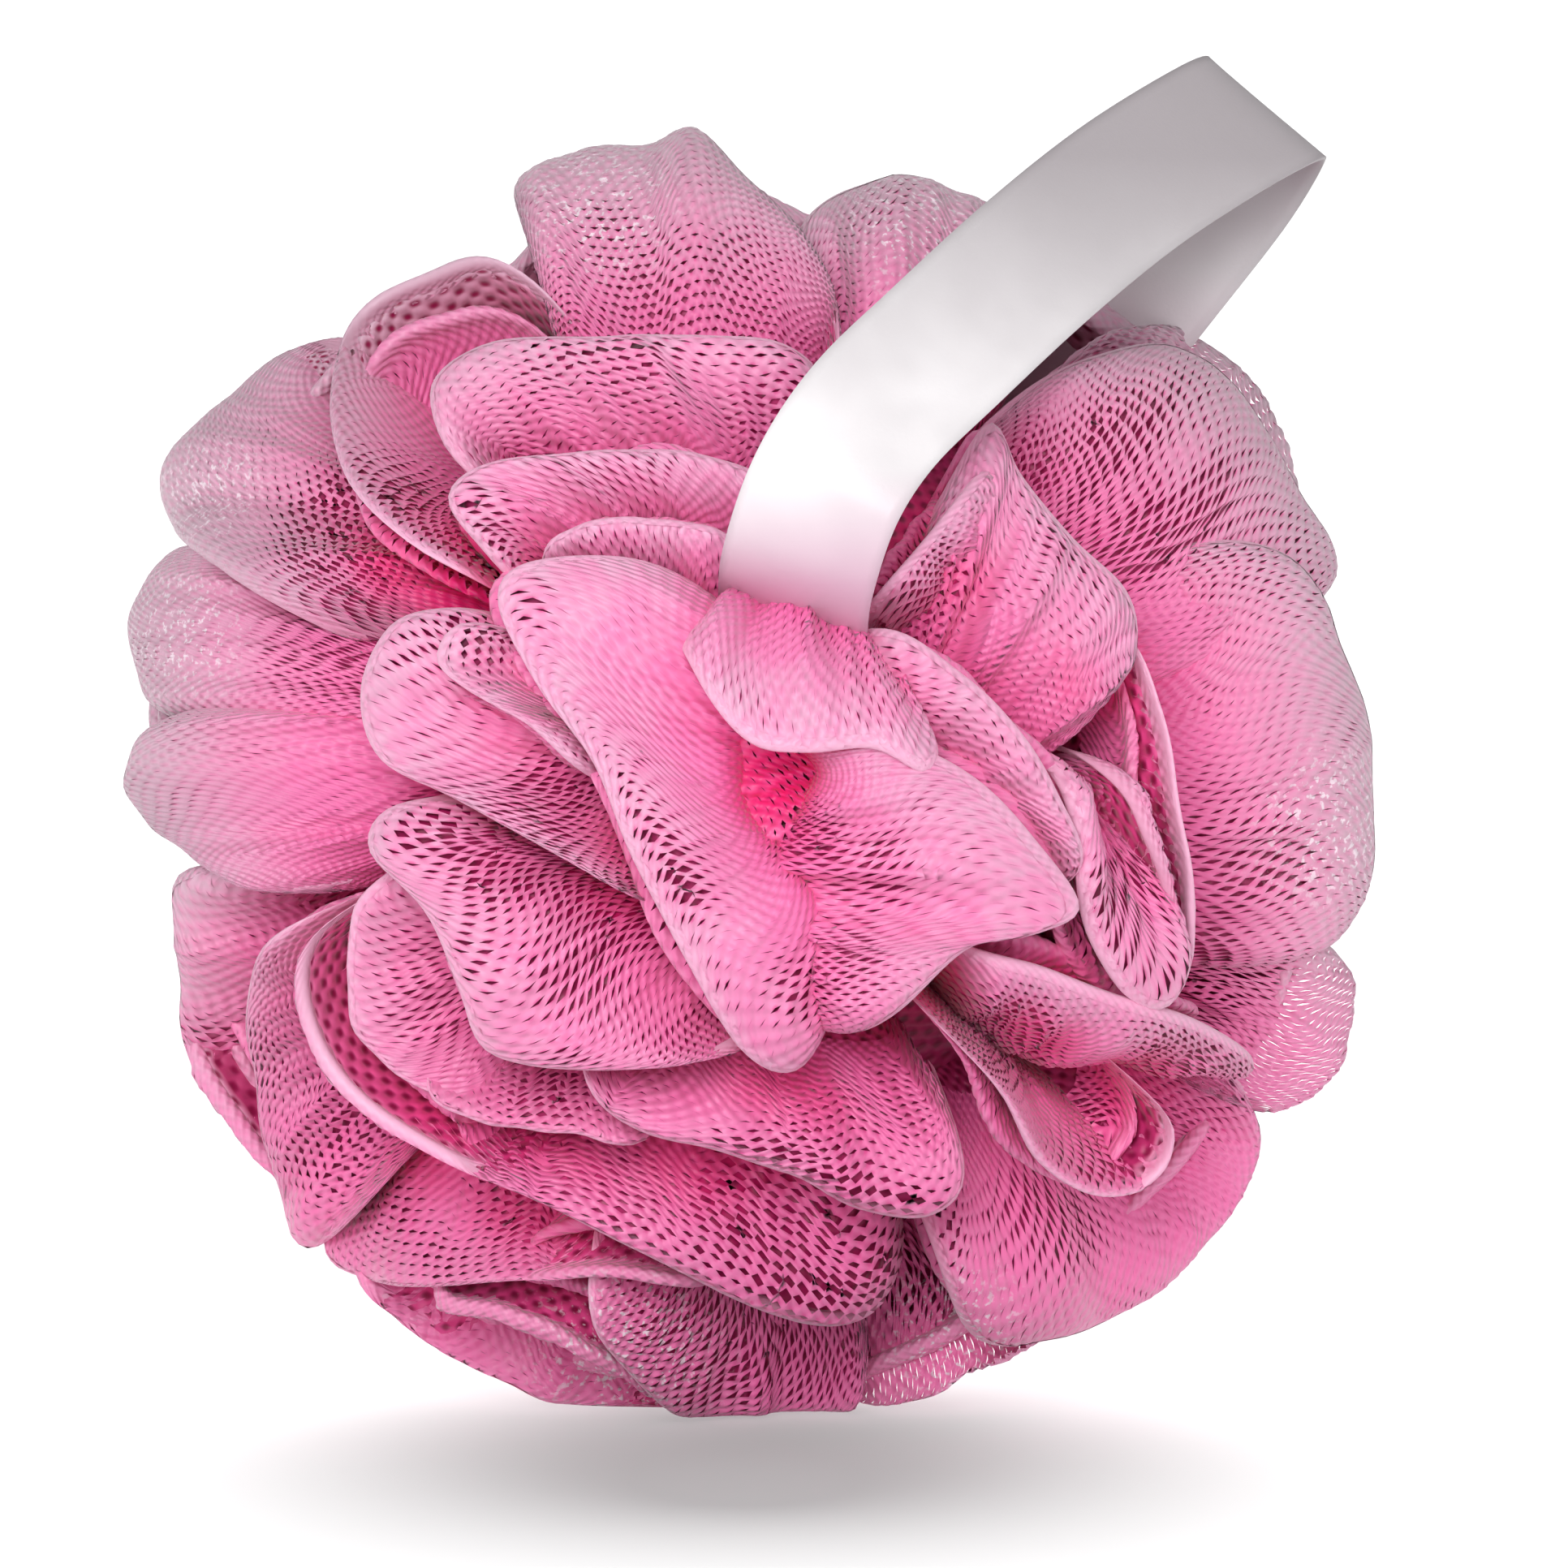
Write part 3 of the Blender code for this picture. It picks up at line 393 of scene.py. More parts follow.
# The petals round the outline and over the back
SIDE_PETALS = 11
SIDE_POLAR = 80  # degrees from the face axis to a side petal's rim
SIDE_RADIUS = 0.0595
BACK_PETALS = 26
BACK_FROM = 98  # degrees from the face axis
BACK_RADIUS = 0.0612
BACK_HALF_WIDTH = 31  # degrees
BACK_LEAN = 21  # degrees from rim to seat
BACK_SEED = 7
BACK_STEPS = 7
BACK_WAVE = (0.05, 0.11)  # range of the bend of a rim, in the plane that touches the ball
BACK_ARCH = 0.10
BACK_SEAT_WIDTH = 0.75  # of the rim's
BACK_LOWER = 2.5  # mm that a rim may lie lower
BACK_SINK = (12, 16)  # mm
BACK_CROWN = (-1.0, 2.5)  # mm
BACK_SKEW = 1.2  # most that a fold is turned, in radians
BACK_OPEN = 0.30

# How far the folds behind the face reach at each clock angle, seen from the face: degrees, mm
OUTLINE = [
    (0, 60), (14, 57.5), (25, 58), (38, 56), (48, 57), (66, 59.5), (78, 58.5),
    (85, 52.5), (92, 57), (100, 60), (108, 60), (112.5, 53.5), (119, 55.5), (128, 57),
    (140, 59.5), (153, 61), (170, 60), (182, 60), (189, 51.5), (194, 55.5), (205, 57.5),
    (215, 59.5), (240, 60.5), (270, 60), (284, 57), (294, 56), (302, 58), (310, 61),
    (324, 57), (334, 56.5), (343, 58), (352, 60),
]

# The ribbon's way: across, towards the viewer, up; then how far its width turns from level, and its width
RIBBON_PATH = [
    (0, 4.2, 9.5, 0, 0.0), (1.2, 14, 10, 0, 0.2), (3, 32, 11.5, -18, 0.8),
    (4.2, 50, 13.5, -20, 1.0), (4.8, 62.5, 19, -22, 1.0), (7.5, 66, 27, -30, 1.0),
    (12, 64, 34, -40, 1.0), (19, 57.5, 41, -45, 1.0), (28, 47.5, 49.5, -44, 1.0),
    (37, 36, 57, -43, 1.0), (46, 25.5, 63, -41, 1.0), (50.5, 19, 65.3, -40, 1.0),
    (50.5, 13.5, 64.3, -41, 1.0), (47, 10.5, 58.5, -43, 1.0), (40, 10, 49.5, -46, 1.0),
    (32, 9.5, 39.5, -46, 1.0), (22, 6, 28, -44, 0.9), (10, -0.5, 18, -25, 0.4),
    (0, -4.2, 10.5, 0, 0.0), (0, -3.8, 6.8, 0, 0.0), (0, 0, 4.6, 0, 0.0),
    (0, 3.8, 6.8, 0, 0.0),
]
RIBBON_STEPS = 420
RIBBON_ROWS = 14
RIBBON_THICKNESS = 0.0004
# Painted light along the loop, in mm: the run nearer the viewer than this is its front; for each run the
# height where the painted pink light bounced from the net ends, over how much it fades in, and the most of
# it; then the same two for the painted shade, grey, at the tip
FRONT_RUN = 40
FRONT_PINK_BOUNCE = (29, 12, 0.9)
BACK_PINK_BOUNCE = (50, 30, 0.5)
TIP_SHADE = (36, 24)


def face_to_world(points):
    """From across, towards the viewer, up (from the pouf's centre) to the row frame."""
    across, out, up = points[..., 0], points[..., 1], points[..., 2]
    cos_tilt, sin_tilt = math.cos(FACE_TILT), math.sin(FACE_TILT)
    y = -out * cos_tilt + up * sin_tilt
    z = out * sin_tilt + up * cos_tilt + REST_HEIGHT
    return np.stack([across, y, z], axis=-1)


def curve_point(before, start, end, after, t):
    """A point of a Catmull-Rom curve from start to end."""
    bend = (2 * before - 5 * start + 4 * end - after) * t**2
    twist = (3 * start - before - 3 * end + after) * t**3
    return 0.5 * (2 * start + (end - before) * t + bend + twist)


def smooth_through(points, count, closed=False):
    """Points at even steps along a Catmull-Rom curve through the given ones."""
    p = np.asarray(points, float)
    if closed:
        p = np.vstack([p[-1], p, p[0], p[1]])
    else:
        p = np.vstack([2 * p[0] - p[1], p, 2 * p[-1] - p[-2]])
    fine = []
    for i in range(len(p) - 3):
        for t in np.linspace(0, 1, CURVE_STEPS, endpoint=False):
            fine.append(curve_point(*p[i : i + 4], t))
    fine.append(p[-2])
    fine = np.array(fine)
    run = np.concatenate([[0], np.cumsum(np.linalg.norm(np.diff(fine[:, :3], axis=0), axis=1))])
    at = np.linspace(0, run[-1], count, endpoint=not closed)
    return np.stack([np.interp(at, run, fine[:, k]) for k in range(p.shape[1])], axis=1)


LEAST_OUT = 0.1  # of the radius, towards the viewer, for points beyond the ball's edge


def on_ball(flat_points, radius):
    """Directions from the pouf's centre to face points laid on a ball, and each point's distance."""
    p = np.asarray(flat_points, float) * MM
    spread = np.hypot(p[:, 0], p[:, 1])
    out = np.sqrt(np.maximum(radius**2 - spread**2, (LEAST_OUT * radius) ** 2))
    place = np.stack([p[:, 0], out, p[:, 1]], axis=1)
    reach = np.linalg.norm(place, axis=1)
    return place / reach[:, None], reach


def between(start, end, share):
    """Unit directions part of the way along the arcs from start to end."""
    angle = np.arccos(np.clip((start * end).sum(1), -1, 1))[:, None]
    angle = np.maximum(angle, 1e-6)
    return (np.sin((1 - share) * angle) * start + np.sin(share * angle) * end) / np.sin(angle)


def ripple(rng, waves, along):
    """A slack wave along the rim, of about unit height."""
    total = np.zeros_like(along)
    for k in range(1, waves + 1):
        turn = math.pi * k * along * rng.uniform(*UNEVEN) + rng.uniform(*ANY_PHASE)
        total += math.sin(k) * np.sin(turn) / math.sqrt(k)
    return total / math.sqrt(waves)


def fold_sheet(rim_way, rim_reach, seat_way, seat_reach, crown, pleating, rng, inset=0.0):
    """A fold's whole sheet: up its hidden side, over the rim, down its face and under the next fold.

    inset draws every point back towards the middle of the fold, for the layer of net inside it.
    Returns rows of points in the pouf's own frame, and each row's share of the way from rim to seat.
    """
    steps = len(rim_way)
    along = np.linspace(-1, 1, steps)
    tuck = 1 - END_TUCK * np.abs(along) ** 10
    sag = UNDER_SAG * np.maximum(0, -rim_way[:, 2]) ** 5
    wave = RIM_WAVE * ripple(rng, 6, along)
    rim_reach = ((rim_reach + sag + wave) * tuck)[:, None] - inset
    seat_reach = (seat_reach * tuck)[:, None] - inset
    pleats = [
        (rate * rng.uniform(*UNEVEN), rng.uniform(*ANY_PHASE), height * rng.uniform(*UNEVEN) * pleating * MM)
        for rate, height in PLEATS
    ]
    fold = NET_FOLD - inset

    def sheet(share, offset):
        """Points this share of the way from rim to seat, this far outside the fold's middle."""
        reach = rim_reach + (seat_reach - rim_reach) * share**1.5
        reach = reach + crown * math.sin(math.pi * min(1.0, share) ** 0.8)
        for rate, phase, height in pleats:
            crest = 1 - 2 * np.abs(np.sin(rate * along + phase + 1.2 * share)) ** 0.7
            reach = reach + (height * min(1.0, 1.6 * share) * crest)[:, None]
        return between(rim_way, seat_way, share) * (reach + offset)

    lip = between(rim_way, seat_way, 0.02) - rim_way
    lip /= np.linalg.norm(lip, axis=1)[:, None]
    nose = sheet(0.0, 0.0)
    stations = [
        (-0.45, sheet(0.45, -14 * MM)),
        (-0.36, sheet(0.36, -9 * MM)),
        (-0.28, sheet(0.28, -5.2 * MM)),
        (-0.15, sheet(0.15, -2.6 * MM - inset)),
        (-0.06, sheet(0.05, -1.5 * fold)),
        (-0.02, nose - rim_way * fold * 0.75 - lip * fold * 0.55),
        (0.0, nose - lip * fold),
        (0.02, nose + rim_way * fold * 0.75 - lip * fold * 0.55),
        (0.06, sheet(0.05, 1.05 * fold)),
        (0.14, sheet(0.14, fold)),
        (0.30, sheet(0.30, fold)),
        (0.50, sheet(0.50, fold)),
        (0.75, sheet(0.75, 0.6 * fold)),
        (1.0, sheet(1.0, 0.0)),
        (1.2, between(rim_way, seat_way, 1.12) * (seat_reach - 5 * MM)),
        (1.4, between(rim_way, seat_way, 1.18) * (seat_reach - 12 * MM)),
    ]
    shares = np.array([share for share, _ in stations])
    rows = np.stack([points for _, points in stations])
    flat = rows.reshape(len(stations), -1)
    pad = np.vstack([2 * flat[0] - flat[1], flat, 2 * flat[-1] - flat[-2]])
    fine, fine_shares = [], []
    for i in range(len(stations) - 1):
        for t in np.linspace(0, 1, STATION_STEPS, endpoint=False):
            fine.append(curve_point(*pad[i : i + 4], t))
            fine_shares.append((1 - t) * shares[i] + t * shares[i + 1])
    fine.append(pad[-2])
    fine_shares.append(shares[-1])
    return np.array(fine).reshape(len(fine), steps, 3), np.array(fine_shares)


def even_rows(rows, shares, count):
    """The same sheet on evenly spaced rows."""
    run = np.concatenate([[0], np.cumsum(np.linalg.norm(np.diff(rows, axis=0), axis=2).mean(axis=1))])
    at = np.linspace(0, run[-1], count)
    low = np.clip(np.searchsorted(run, at) - 1, 0, len(run) - 2)
    part = ((at - run[low]) / (run[low + 1] - run[low]))[:, None, None]
    return rows[low] * (1 - part) + rows[low + 1] * part, np.interp(at, run, shares)


def grid_normals(grid):
    """Unit normals of a grid of points, away from the inside of the fold."""
    down = np.gradient(grid, axis=0)
    sideways = np.gradient(grid, axis=1)
    normal = np.cross(sideways, down)
    return normal / (np.linalg.norm(normal, axis=2, keepdims=True) + 1e-12)


def read_grid(grid, rows, columns):
    """Values of a grid at fractional rows and columns."""
    top, wide = grid.shape[0] - 1, grid.shape[1] - 1
    rows = np.clip(rows, 0, top - 1e-6)
    columns = np.clip(columns, 0, wide - 1e-6)
    i, j = rows.astype(int), columns.astype(int)
    s, t = rows - i, columns - j
    if grid.ndim == 3:
        s, t = s[..., None], t[..., None]
    upper = grid[i, j] * (1 - t) + grid[i, j + 1] * t
    lower = grid[i + 1, j] * (1 - t) + grid[i + 1, j + 1] * t
    return upper * (1 - s) + lower * s


def patch_weight(across, up, patches):
    """How open the patches make the net at these face points."""
    most = np.zeros_like(across)
    for centre_across, centre_up, radius, amount in patches:
        far = np.hypot(across - centre_across, up - centre_up) / radius
        most = np.maximum(most, amount / (1 + np.exp((far - 1) / (0.25 * PATCH_SOFTNESS))))
    return most


def slow_noise(across, up, rng, scale):
    """Smooth unevenness over the face, from about -1 to 1."""
    total = np.zeros_like(across)
    for _ in range(5):
        turn = rng.uniform(0, 2 * math.pi)
        rate = rng.uniform(0.6, 1.6) / scale
        way = across * math.cos(turn) + up * math.sin(turn)
        total += np.sin(rate * way + rng.uniform(*ANY_PHASE))
    return total / 2.5


def drift(share_long, share_short, rng):
    """Where a place on the net lies on the sheet: the net is pulled askew between the sheet's edges."""
    free_long = share_long * (1 - share_long)
    free_short = share_short * (1 - share_short)
    for rate in (0.8, 1.7):
        pull = rng.uniform(0.12, 0.30)
        sway = rng.uniform(0.10, 0.22)
        wave = np.sin(2 * math.pi * (rate * share_short + rng.random()))
        share_long = share_long + pull * free_long * wave
        wave = np.sin(2 * math.pi * (rate * share_long + rng.random()))
        share_short = share_short + sway * free_short * wave
    return share_long, share_short


def flat_values(values):
    """One number for each corner of each hole, in a row."""
    return np.repeat(values[..., None], 4, axis=2).reshape(-1)


# How the net's colour changes, with painted light and shade in it. Shares are of the way from rim to seat,
# heights and radii in mm.
PALE_AT_RIM = 1.10
PALE_LOST = 0.95  # painted shade: paleness lost on the way to the seat
PALE_LOST_HIDDEN = 2.2  # painted shade: paleness lost on the way down the hidden side
LEAST_PALE_HIDDEN = 0.1
LOW_FROM, LOW_OVER, LEAST_PALE_LOW = -5, 65, 0.45  # painted shade: the lower part of the pouf is a deeper pink
OUTER_FROM, OUTER_OVER = 42, 16  # radius where a painted sheen turns the net greyer towards the outline
OUTER_LOWEST, OUTER_FADE = -35, 20  # height above which it does
# share of the way over which a rim is paler: the net lies doubled there, with a painted highlight
RIM_REACH = 0.07


def net_values(across, out, up, share):
    """How pale (painted light and shade), grey (painted sheen), gathered, glinting (painted glints) and
    glowing (painted glow) the net is, at face points in mm.
    """
    # painted light and shade: pale at the rim, less pale towards the seat and down the hidden side
    pale = np.clip(PALE_AT_RIM - PALE_LOST * np.clip(share, 0, SHOWN_TO), 0, 1)
    pale = np.where(share < 0, np.clip(1 + PALE_LOST_HIDDEN * share, LEAST_PALE_HIDDEN, 1), pale)
    # painted shade: less pale on the lower part of the pouf
    pale = pale * np.clip(1 + (up - LOW_FROM) / LOW_OVER, LEAST_PALE_LOW, 1)
    # painted sheen: greyer towards the outline, above the lowest part
    painted_sheen = np.clip((np.hypot(across, up) - OUTER_FROM) / OUTER_OVER, 0, 1)
    painted_sheen = painted_sheen * np.clip((up - OUTER_LOWEST) / OUTER_FADE, 0, 1)
    rim = np.clip(1 - np.abs(share) / RIM_REACH, 0, 1)
    # painted glints: white specks in these patches
    spots = [(a, u, r, 1.0) for a, u, r in PAINTED_GLINT_PATCHES]
    painted_glint = patch_weight(across, up, spots) * (out > 0)
    # painted glow in the hollows, fuller the deeper they lie below the ball
    depth = POUF_RADIUS / MM - np.sqrt(across**2 + out**2 + up**2)
    painted_glow = patch_weight(across, up, PAINTED_GLOW_PATCHES) * (out > 0) * np.clip(depth / PAINTED_GLOW_DEPTH, 0, 1)
    return {"pale": pale, "painted_sheen": painted_sheen, "rim": rim, "painted_glint": painted_glint, "painted_glow": painted_glow}


def hole_gaps(across, out, up, rim_fade, base_open, in_face, rng):
    """How open the net is at each hole."""
    gap = np.full_like(across, CLOSED_SHARE * base_open)
    if in_face:
        gap = np.maximum(gap, PATCH_STRENGTH * patch_weight(across, up, OPEN_PATCHES) * (out > 0))
    gap = gap * (1 + SLOW_UNEVEN * slow_noise(across, up, rng, SLOW_SCALE))
    gap = gap + QUICK_UNEVEN * slow_noise(across, up, rng, QUICK_SCALE)
    return np.clip(gap, *GAP_RANGE) * rim_fade


def strand_faces(cells_short, cells_long):
    """The strands round staggered holes, as faces between the holes' left, right, upper and lower corners."""
    index = np.arange(cells_short * cells_long * 4).reshape(cells_short, cells_long, 4)
    left, right, upper, lower = (index[..., k] for k in range(4))
    quads = []
    for start in (0, 1):
        above = slice(start + 1, cells_short, 2)
        count = len(range(cells_short)[above])
        here = slice(start, start + 2 * count, 2)
        l, r, u = left[here], right[here], upper[here]
        l2, r2, b2 = left[above], right[above], lower[above]
        if start == 0:
            quads.append((u, r, b2, l2))
            quads.append((l[:, 1:], u[:, 1:], r2[:, :-1], b2[:, :-1]))
        else:
            quads.append((u[:, :-1], r[:, :-1], b2[:, 1:], l2[:, 1:]))
            quads.append((l, u, r2, b2))
    for j in range(cells_short):
        below = j - 1 if j > 0 else j
        above = j + 1 if j < cells_short - 1 else j
        step = slice(1, None) if j % 2 else slice(None, -1)
        under = upper[below][step] if j > 0 else lower[j][:-1]
        over = lower[above][step] if j < cells_short - 1 else upper[j][:-1]
        quads.append((right[j][:-1], under, left[j][1:], over))
    return np.concatenate([np.stack([q.ravel() for q in quad], axis=1) for quad in quads])


def net_mesh(grid, shares, grain, base_open, coarser, rng, in_face, fringe):
    """The net laid on a fold: staggered lens-shaped holes between strands. Returns its arrays."""
    normals = grid_normals(grid)
    rise = np.linalg.norm(np.diff(grid, axis=0), axis=2).mean(axis=1).sum()
    run = np.linalg.norm(np.diff(grid, axis=1), axis=2).mean(axis=0).sum()
    long_pitch, short_pitch = HOLE_LONG * coarser, HOLE_SHORT * coarser
    if grain == "rim":
        cells_long, cells_short = max(4, round(run / long_pitch)), max(6, round(rise / short_pitch))
    else:
        cells_long, cells_short = max(4, round(rise / long_pitch)), max(6, round(run / short_pitch))
    row, cell = np.meshgrid(np.arange(cells_short), np.arange(cells_long), indexing="ij")
    centre_long = cell + 0.5 * (row % 2) + 0.25
    centre_short = row + 0.5
    top, wide = grid.shape[0] - 1, grid.shape[1] - 1
    askew = rng.random()

    def to_grid(along_long, along_short):
        shares = along_long / cells_long, along_short / cells_short
        share_long, share_short = drift(*shares, random.Random(askew))
        if grain == "rim":
            return share_short * top, share_long * wide
        return share_long * top, share_short * wide

    rows, columns = to_grid(centre_long, centre_short)
    middle = read_grid(grid, rows, columns) / MM
    share = np.interp(rows, np.arange(len(shares)), shares)
    across, out, up = middle[..., 0], middle[..., 1], middle[..., 2]
    rim_fade = 1.0 if fringe else np.clip((np.abs(share) - HOLE_FADE[0]) / HOLE_FADE[1], 0, 1)
    gap = hole_gaps(across, out, up, rim_fade, base_open, in_face, rng)
    draw = np.array([rng.random() for _ in range(3 * cells_long * cells_short)])
    draw = draw.reshape(cells_short, cells_long, 3)
    gap = gap * (GAP_CHANCE[0] + GAP_CHANCE[1] * draw[..., 0])
    centre_long = centre_long + HOLE_STRAY * (draw[..., 1] - 0.5)
    centre_short = centre_short + HOLE_STRAY * (draw[..., 2] - 0.5)
    half_long = HALF_LONG[0] + HALF_LONG[1] * gap + HALF_LONG[2] * (draw[..., 1] - 0.5)
    half_short = HALF_SHORT[0] * gap + HALF_SHORT[1]
    corners = [
        (centre_long - half_long, centre_short, 1.0),
        (centre_long + half_long, centre_short, 1.0),
        (centre_long, centre_short + half_short, -1.0),
        (centre_long, centre_short - half_short, -1.0),
    ]
    points, where_rows, where_columns, at_long, at_short = [], [], [], [], []
    for along_long, along_short, side in corners:
        r, c = to_grid(along_long, along_short)
        place = read_grid(grid, r, c)
        height = STRAND_RELIEF * side * np.clip(RELIEF_SHUT + gap / RELIEF_GAP, 0, 1) * rim_fade
        points.append(place + read_grid(normals, r, c) * height[..., None])
        where_rows.append(r / top)
        where_columns.append(c / wide)
        at_long.append(along_long - 0.25)
        at_short.append(along_short - 0.5)
    points = np.stack(points, axis=2)
    faces = strand_faces(cells_short, cells_long)
    where = np.stack([np.stack(where_columns, axis=2), np.stack(where_rows, axis=2)], axis=-1)
    values = {key: flat_values(numbers) for key, numbers in net_values(across, out, up, share).items()}
    values["gap"] = flat_values(gap)
    values["cell_long"] = np.stack(at_long, axis=2).reshape(-1)
    values["cell_short"] = np.stack(at_short, axis=2).reshape(-1)
    return points.reshape(-1, 3), faces, where.reshape(-1, 2), values


def plain_mesh(grid, shares, run_pitch, row_pitch, gap, shaded=False):
    """A gathered layer of net as a plain grid, its pattern carried by the numbers on its points.

    shaded: painted shade, darker where the net over it is open, for the depth seen through the holes.
    """
    tall, wide = grid.shape[:2]
    index = np.arange(tall * wide).reshape(tall, wide)
    faces = np.stack([index[:-1, :-1], index[1:, :-1], index[1:, 1:], index[:-1, 1:]], axis=-1)
    rows = np.concatenate([[0], np.cumsum(np.linalg.norm(np.diff(grid, axis=0), axis=2).mean(axis=1))])
    columns = np.concatenate([[0], np.cumsum(np.linalg.norm(np.diff(grid, axis=1), axis=2).mean(axis=0))])
    at_short, at_long = np.meshgrid(columns / run_pitch, rows / row_pitch)
    middle = grid / MM
    share = np.repeat(shares[:, None], wide, axis=1)
    values = net_values(middle[..., 0], middle[..., 1], middle[..., 2], share)
    values.update(gap=np.full((tall, wide), gap), cell_long=at_long, cell_short=at_short)
    if shaded:
        # painted shade: the layer is darker where the net over it is open
        open_over = patch_weight(middle[..., 0], middle[..., 2], OPEN_PATCHES) * (middle[..., 1] > 0)
        values["pale"] = np.clip(1 - 1.5 * open_over, 0, 1)
    where = np.stack(np.meshgrid(np.linspace(0, 1, wide), np.linspace(0, 1, tall)), axis=-1)
    values = {key: numbers.reshape(-1) for key, numbers in values.items()}
    return grid.reshape(-1, 3), faces.reshape(-1, 4), where.reshape(-1, 2), values


def rim_band(rows, shares):
    """The band along a rim where the net is gathered close, standing a little proud of the open net."""
    near = np.abs(shares) <= RIM_SHARE
    grid, shares = even_rows(rows[near], shares[near], RIM_ROWS)
    grid = grid + grid_normals(grid) * RIM_PROUD
    return plain_mesh(grid, shares, *BAND_PITCH, BAND_GAP)


def next_ply(drawn, rng):
    """The next layer of net beyond a fold: its rim follows the fold's rim, lower and farther out."""
    rim_way, rim_reach, seat_way = drawn[:3]
    lip = between(rim_way, seat_way, 0.02) - rim_way
    lip /= np.linalg.norm(lip, axis=1)[:, None]
    along = np.linspace(-1, 1, len(rim_way))
    apart = PLY_GAP * (1 - along**4) * (0.8 + 0.45 * ripple(rng, 4, along))
    ply_way = rim_way - lip * (apart / rim_reach)[:, None]
    ply_way /= np.linalg.norm(ply_way, axis=1)[:, None]
    ply_reach = rim_reach - PLY_DROP - 0.5 * MM * ripple(rng, 4, along) - 9 * MM * along**4
    return ply_way, ply_reach, between(rim_way, seat_way, 0.35), ply_reach - 4 * MM, 0.0, 0.6


def outline_reach(way, reach):
    """Draw back what would show beyond the outline of the face's own folds."""
    clock = np.degrees(np.arctan2(way[:, 2], way[:, 0])) % 360
    limit = np.interp(clock, [row[0] for row in OUTLINE], [row[1] * MM for row in OUTLINE], period=360)
    spread = reach * np.hypot(way[:, 0], way[:, 2])
    return reach * np.minimum(1.0, limit / np.maximum(spread, 1e-6))


def free_fold(centre, along, inward, reach, rng):
    """What a fold away from the face is drawn from: its rim a slack wave, its seat inward of it."""
    turn = np.linspace(-1, 1, BACK_STEPS)[:, None]
    width = math.tan(math.radians(BACK_HALF_WIDTH))
    lean = math.tan(math.radians(BACK_LEAN))
    wave = rng.uniform(*BACK_WAVE)
    bend = wave * np.sin(4.2 * turn + rng.uniform(0, 2 * math.pi)) + BACK_ARCH * turn**2
    rim_way = centre + width * turn * along + bend * inward
    seat_way = centre + BACK_SEAT_WIDTH * width * turn * along + lean * inward
    rim_way /= np.linalg.norm(rim_way, axis=1)[:, None]
    seat_way /= np.linalg.norm(seat_way, axis=1)[:, None]
    rim_reach = outline_reach(rim_way, np.full(BACK_STEPS, reach - rng.uniform(0, BACK_LOWER) * MM))
    seat_reach = rim_reach - rng.uniform(*BACK_SINK) * MM
    crown = rng.uniform(*BACK_CROWN) * MM
    run = np.linalg.norm(np.diff(rim_way * rim_reach[:, None], axis=0), axis=1).sum()
    steps = max(12, round(run / GRID))
    rim = smooth_through(np.hstack([rim_way, rim_reach[:, None]]), steps)
    seat = smooth_through(np.hstack([seat_way, seat_reach[:, None]]), steps)
    rim_way = rim[:, :3] / np.linalg.norm(rim[:, :3], axis=1)[:, None]
    seat_way = seat[:, :3] / np.linalg.norm(seat[:, :3], axis=1)[:, None]
    return rim_way, rim[:, 3], seat_way, seat[:, 3], crown, 1.0


def back_folds():
    """Folds round the outline behind the face, and over the back, each lying its own way."""
    rng = random.Random(BACK_SEED)
    axis = np.array((0.0, 1.0, 0.0))
    for k in range(SIDE_PETALS):
        clock = 2 * math.pi * (k + rng.uniform(-0.15, 0.15)) / SIDE_PETALS
        polar = math.radians(SIDE_POLAR + rng.uniform(-3, 3))
        ring = math.sin(polar)
        centre = np.array([ring * math.cos(clock), math.cos(polar), ring * math.sin(clock)])
        around = np.cross(centre, axis) / ring
        away = np.cross(centre, around)
        yield "side", free_fold(centre, around, -away * np.sign(away[1]), SIDE_RADIUS, rng)
    golden = math.pi * (3 - math.sqrt(5))
    first = math.cos(math.radians(BACK_FROM))
    for k in range(BACK_PETALS):
        out = first - (first + 1) * (k + 0.5) / BACK_PETALS
        ring = math.sqrt(1 - out**2)
        centre = np.array([ring * math.cos(k * golden), out, ring * math.sin(k * golden)])
        around = np.cross(centre, axis) / ring
        away = np.cross(centre, around)
        away *= -np.sign(away[1])
        skew = rng.uniform(-BACK_SKEW, BACK_SKEW)
        along = around * math.cos(skew) + away * math.sin(skew)
        inward = away * math.cos(skew) - around * math.sin(skew)
        yield "back", free_fold(centre, along, inward, BACK_RADIUS, rng)


def face_fold(spec):
    """What a fold of the face is drawn from, from its row in the table."""
    run = sum(math.dist(a, b) for a, b in zip(spec["rim"], spec["rim"][1:])) * MM
    steps = max(12, round(run / GRID))
    rim_way, rim_reach = on_ball(smooth_through(spec["rim"], steps), POUF_RADIUS + spec["lift"] * MM)
    seat_way, seat_reach = on_ball(smooth_through(spec["seat"], steps), POUF_RADIUS - spec["sink"] * MM)
    along = np.linspace(-1, 1, steps)
    first, last = spec.get("tucked", (0, 0))
    rim_reach = rim_reach - MM * (first * np.clip(-along, 0, 1) ** 3 + last * np.clip(along, 0, 1) ** 3)
    return rim_way, rim_reach, seat_way, seat_reach, spec["crown"] * MM, spec.get("pleating", 1.0)


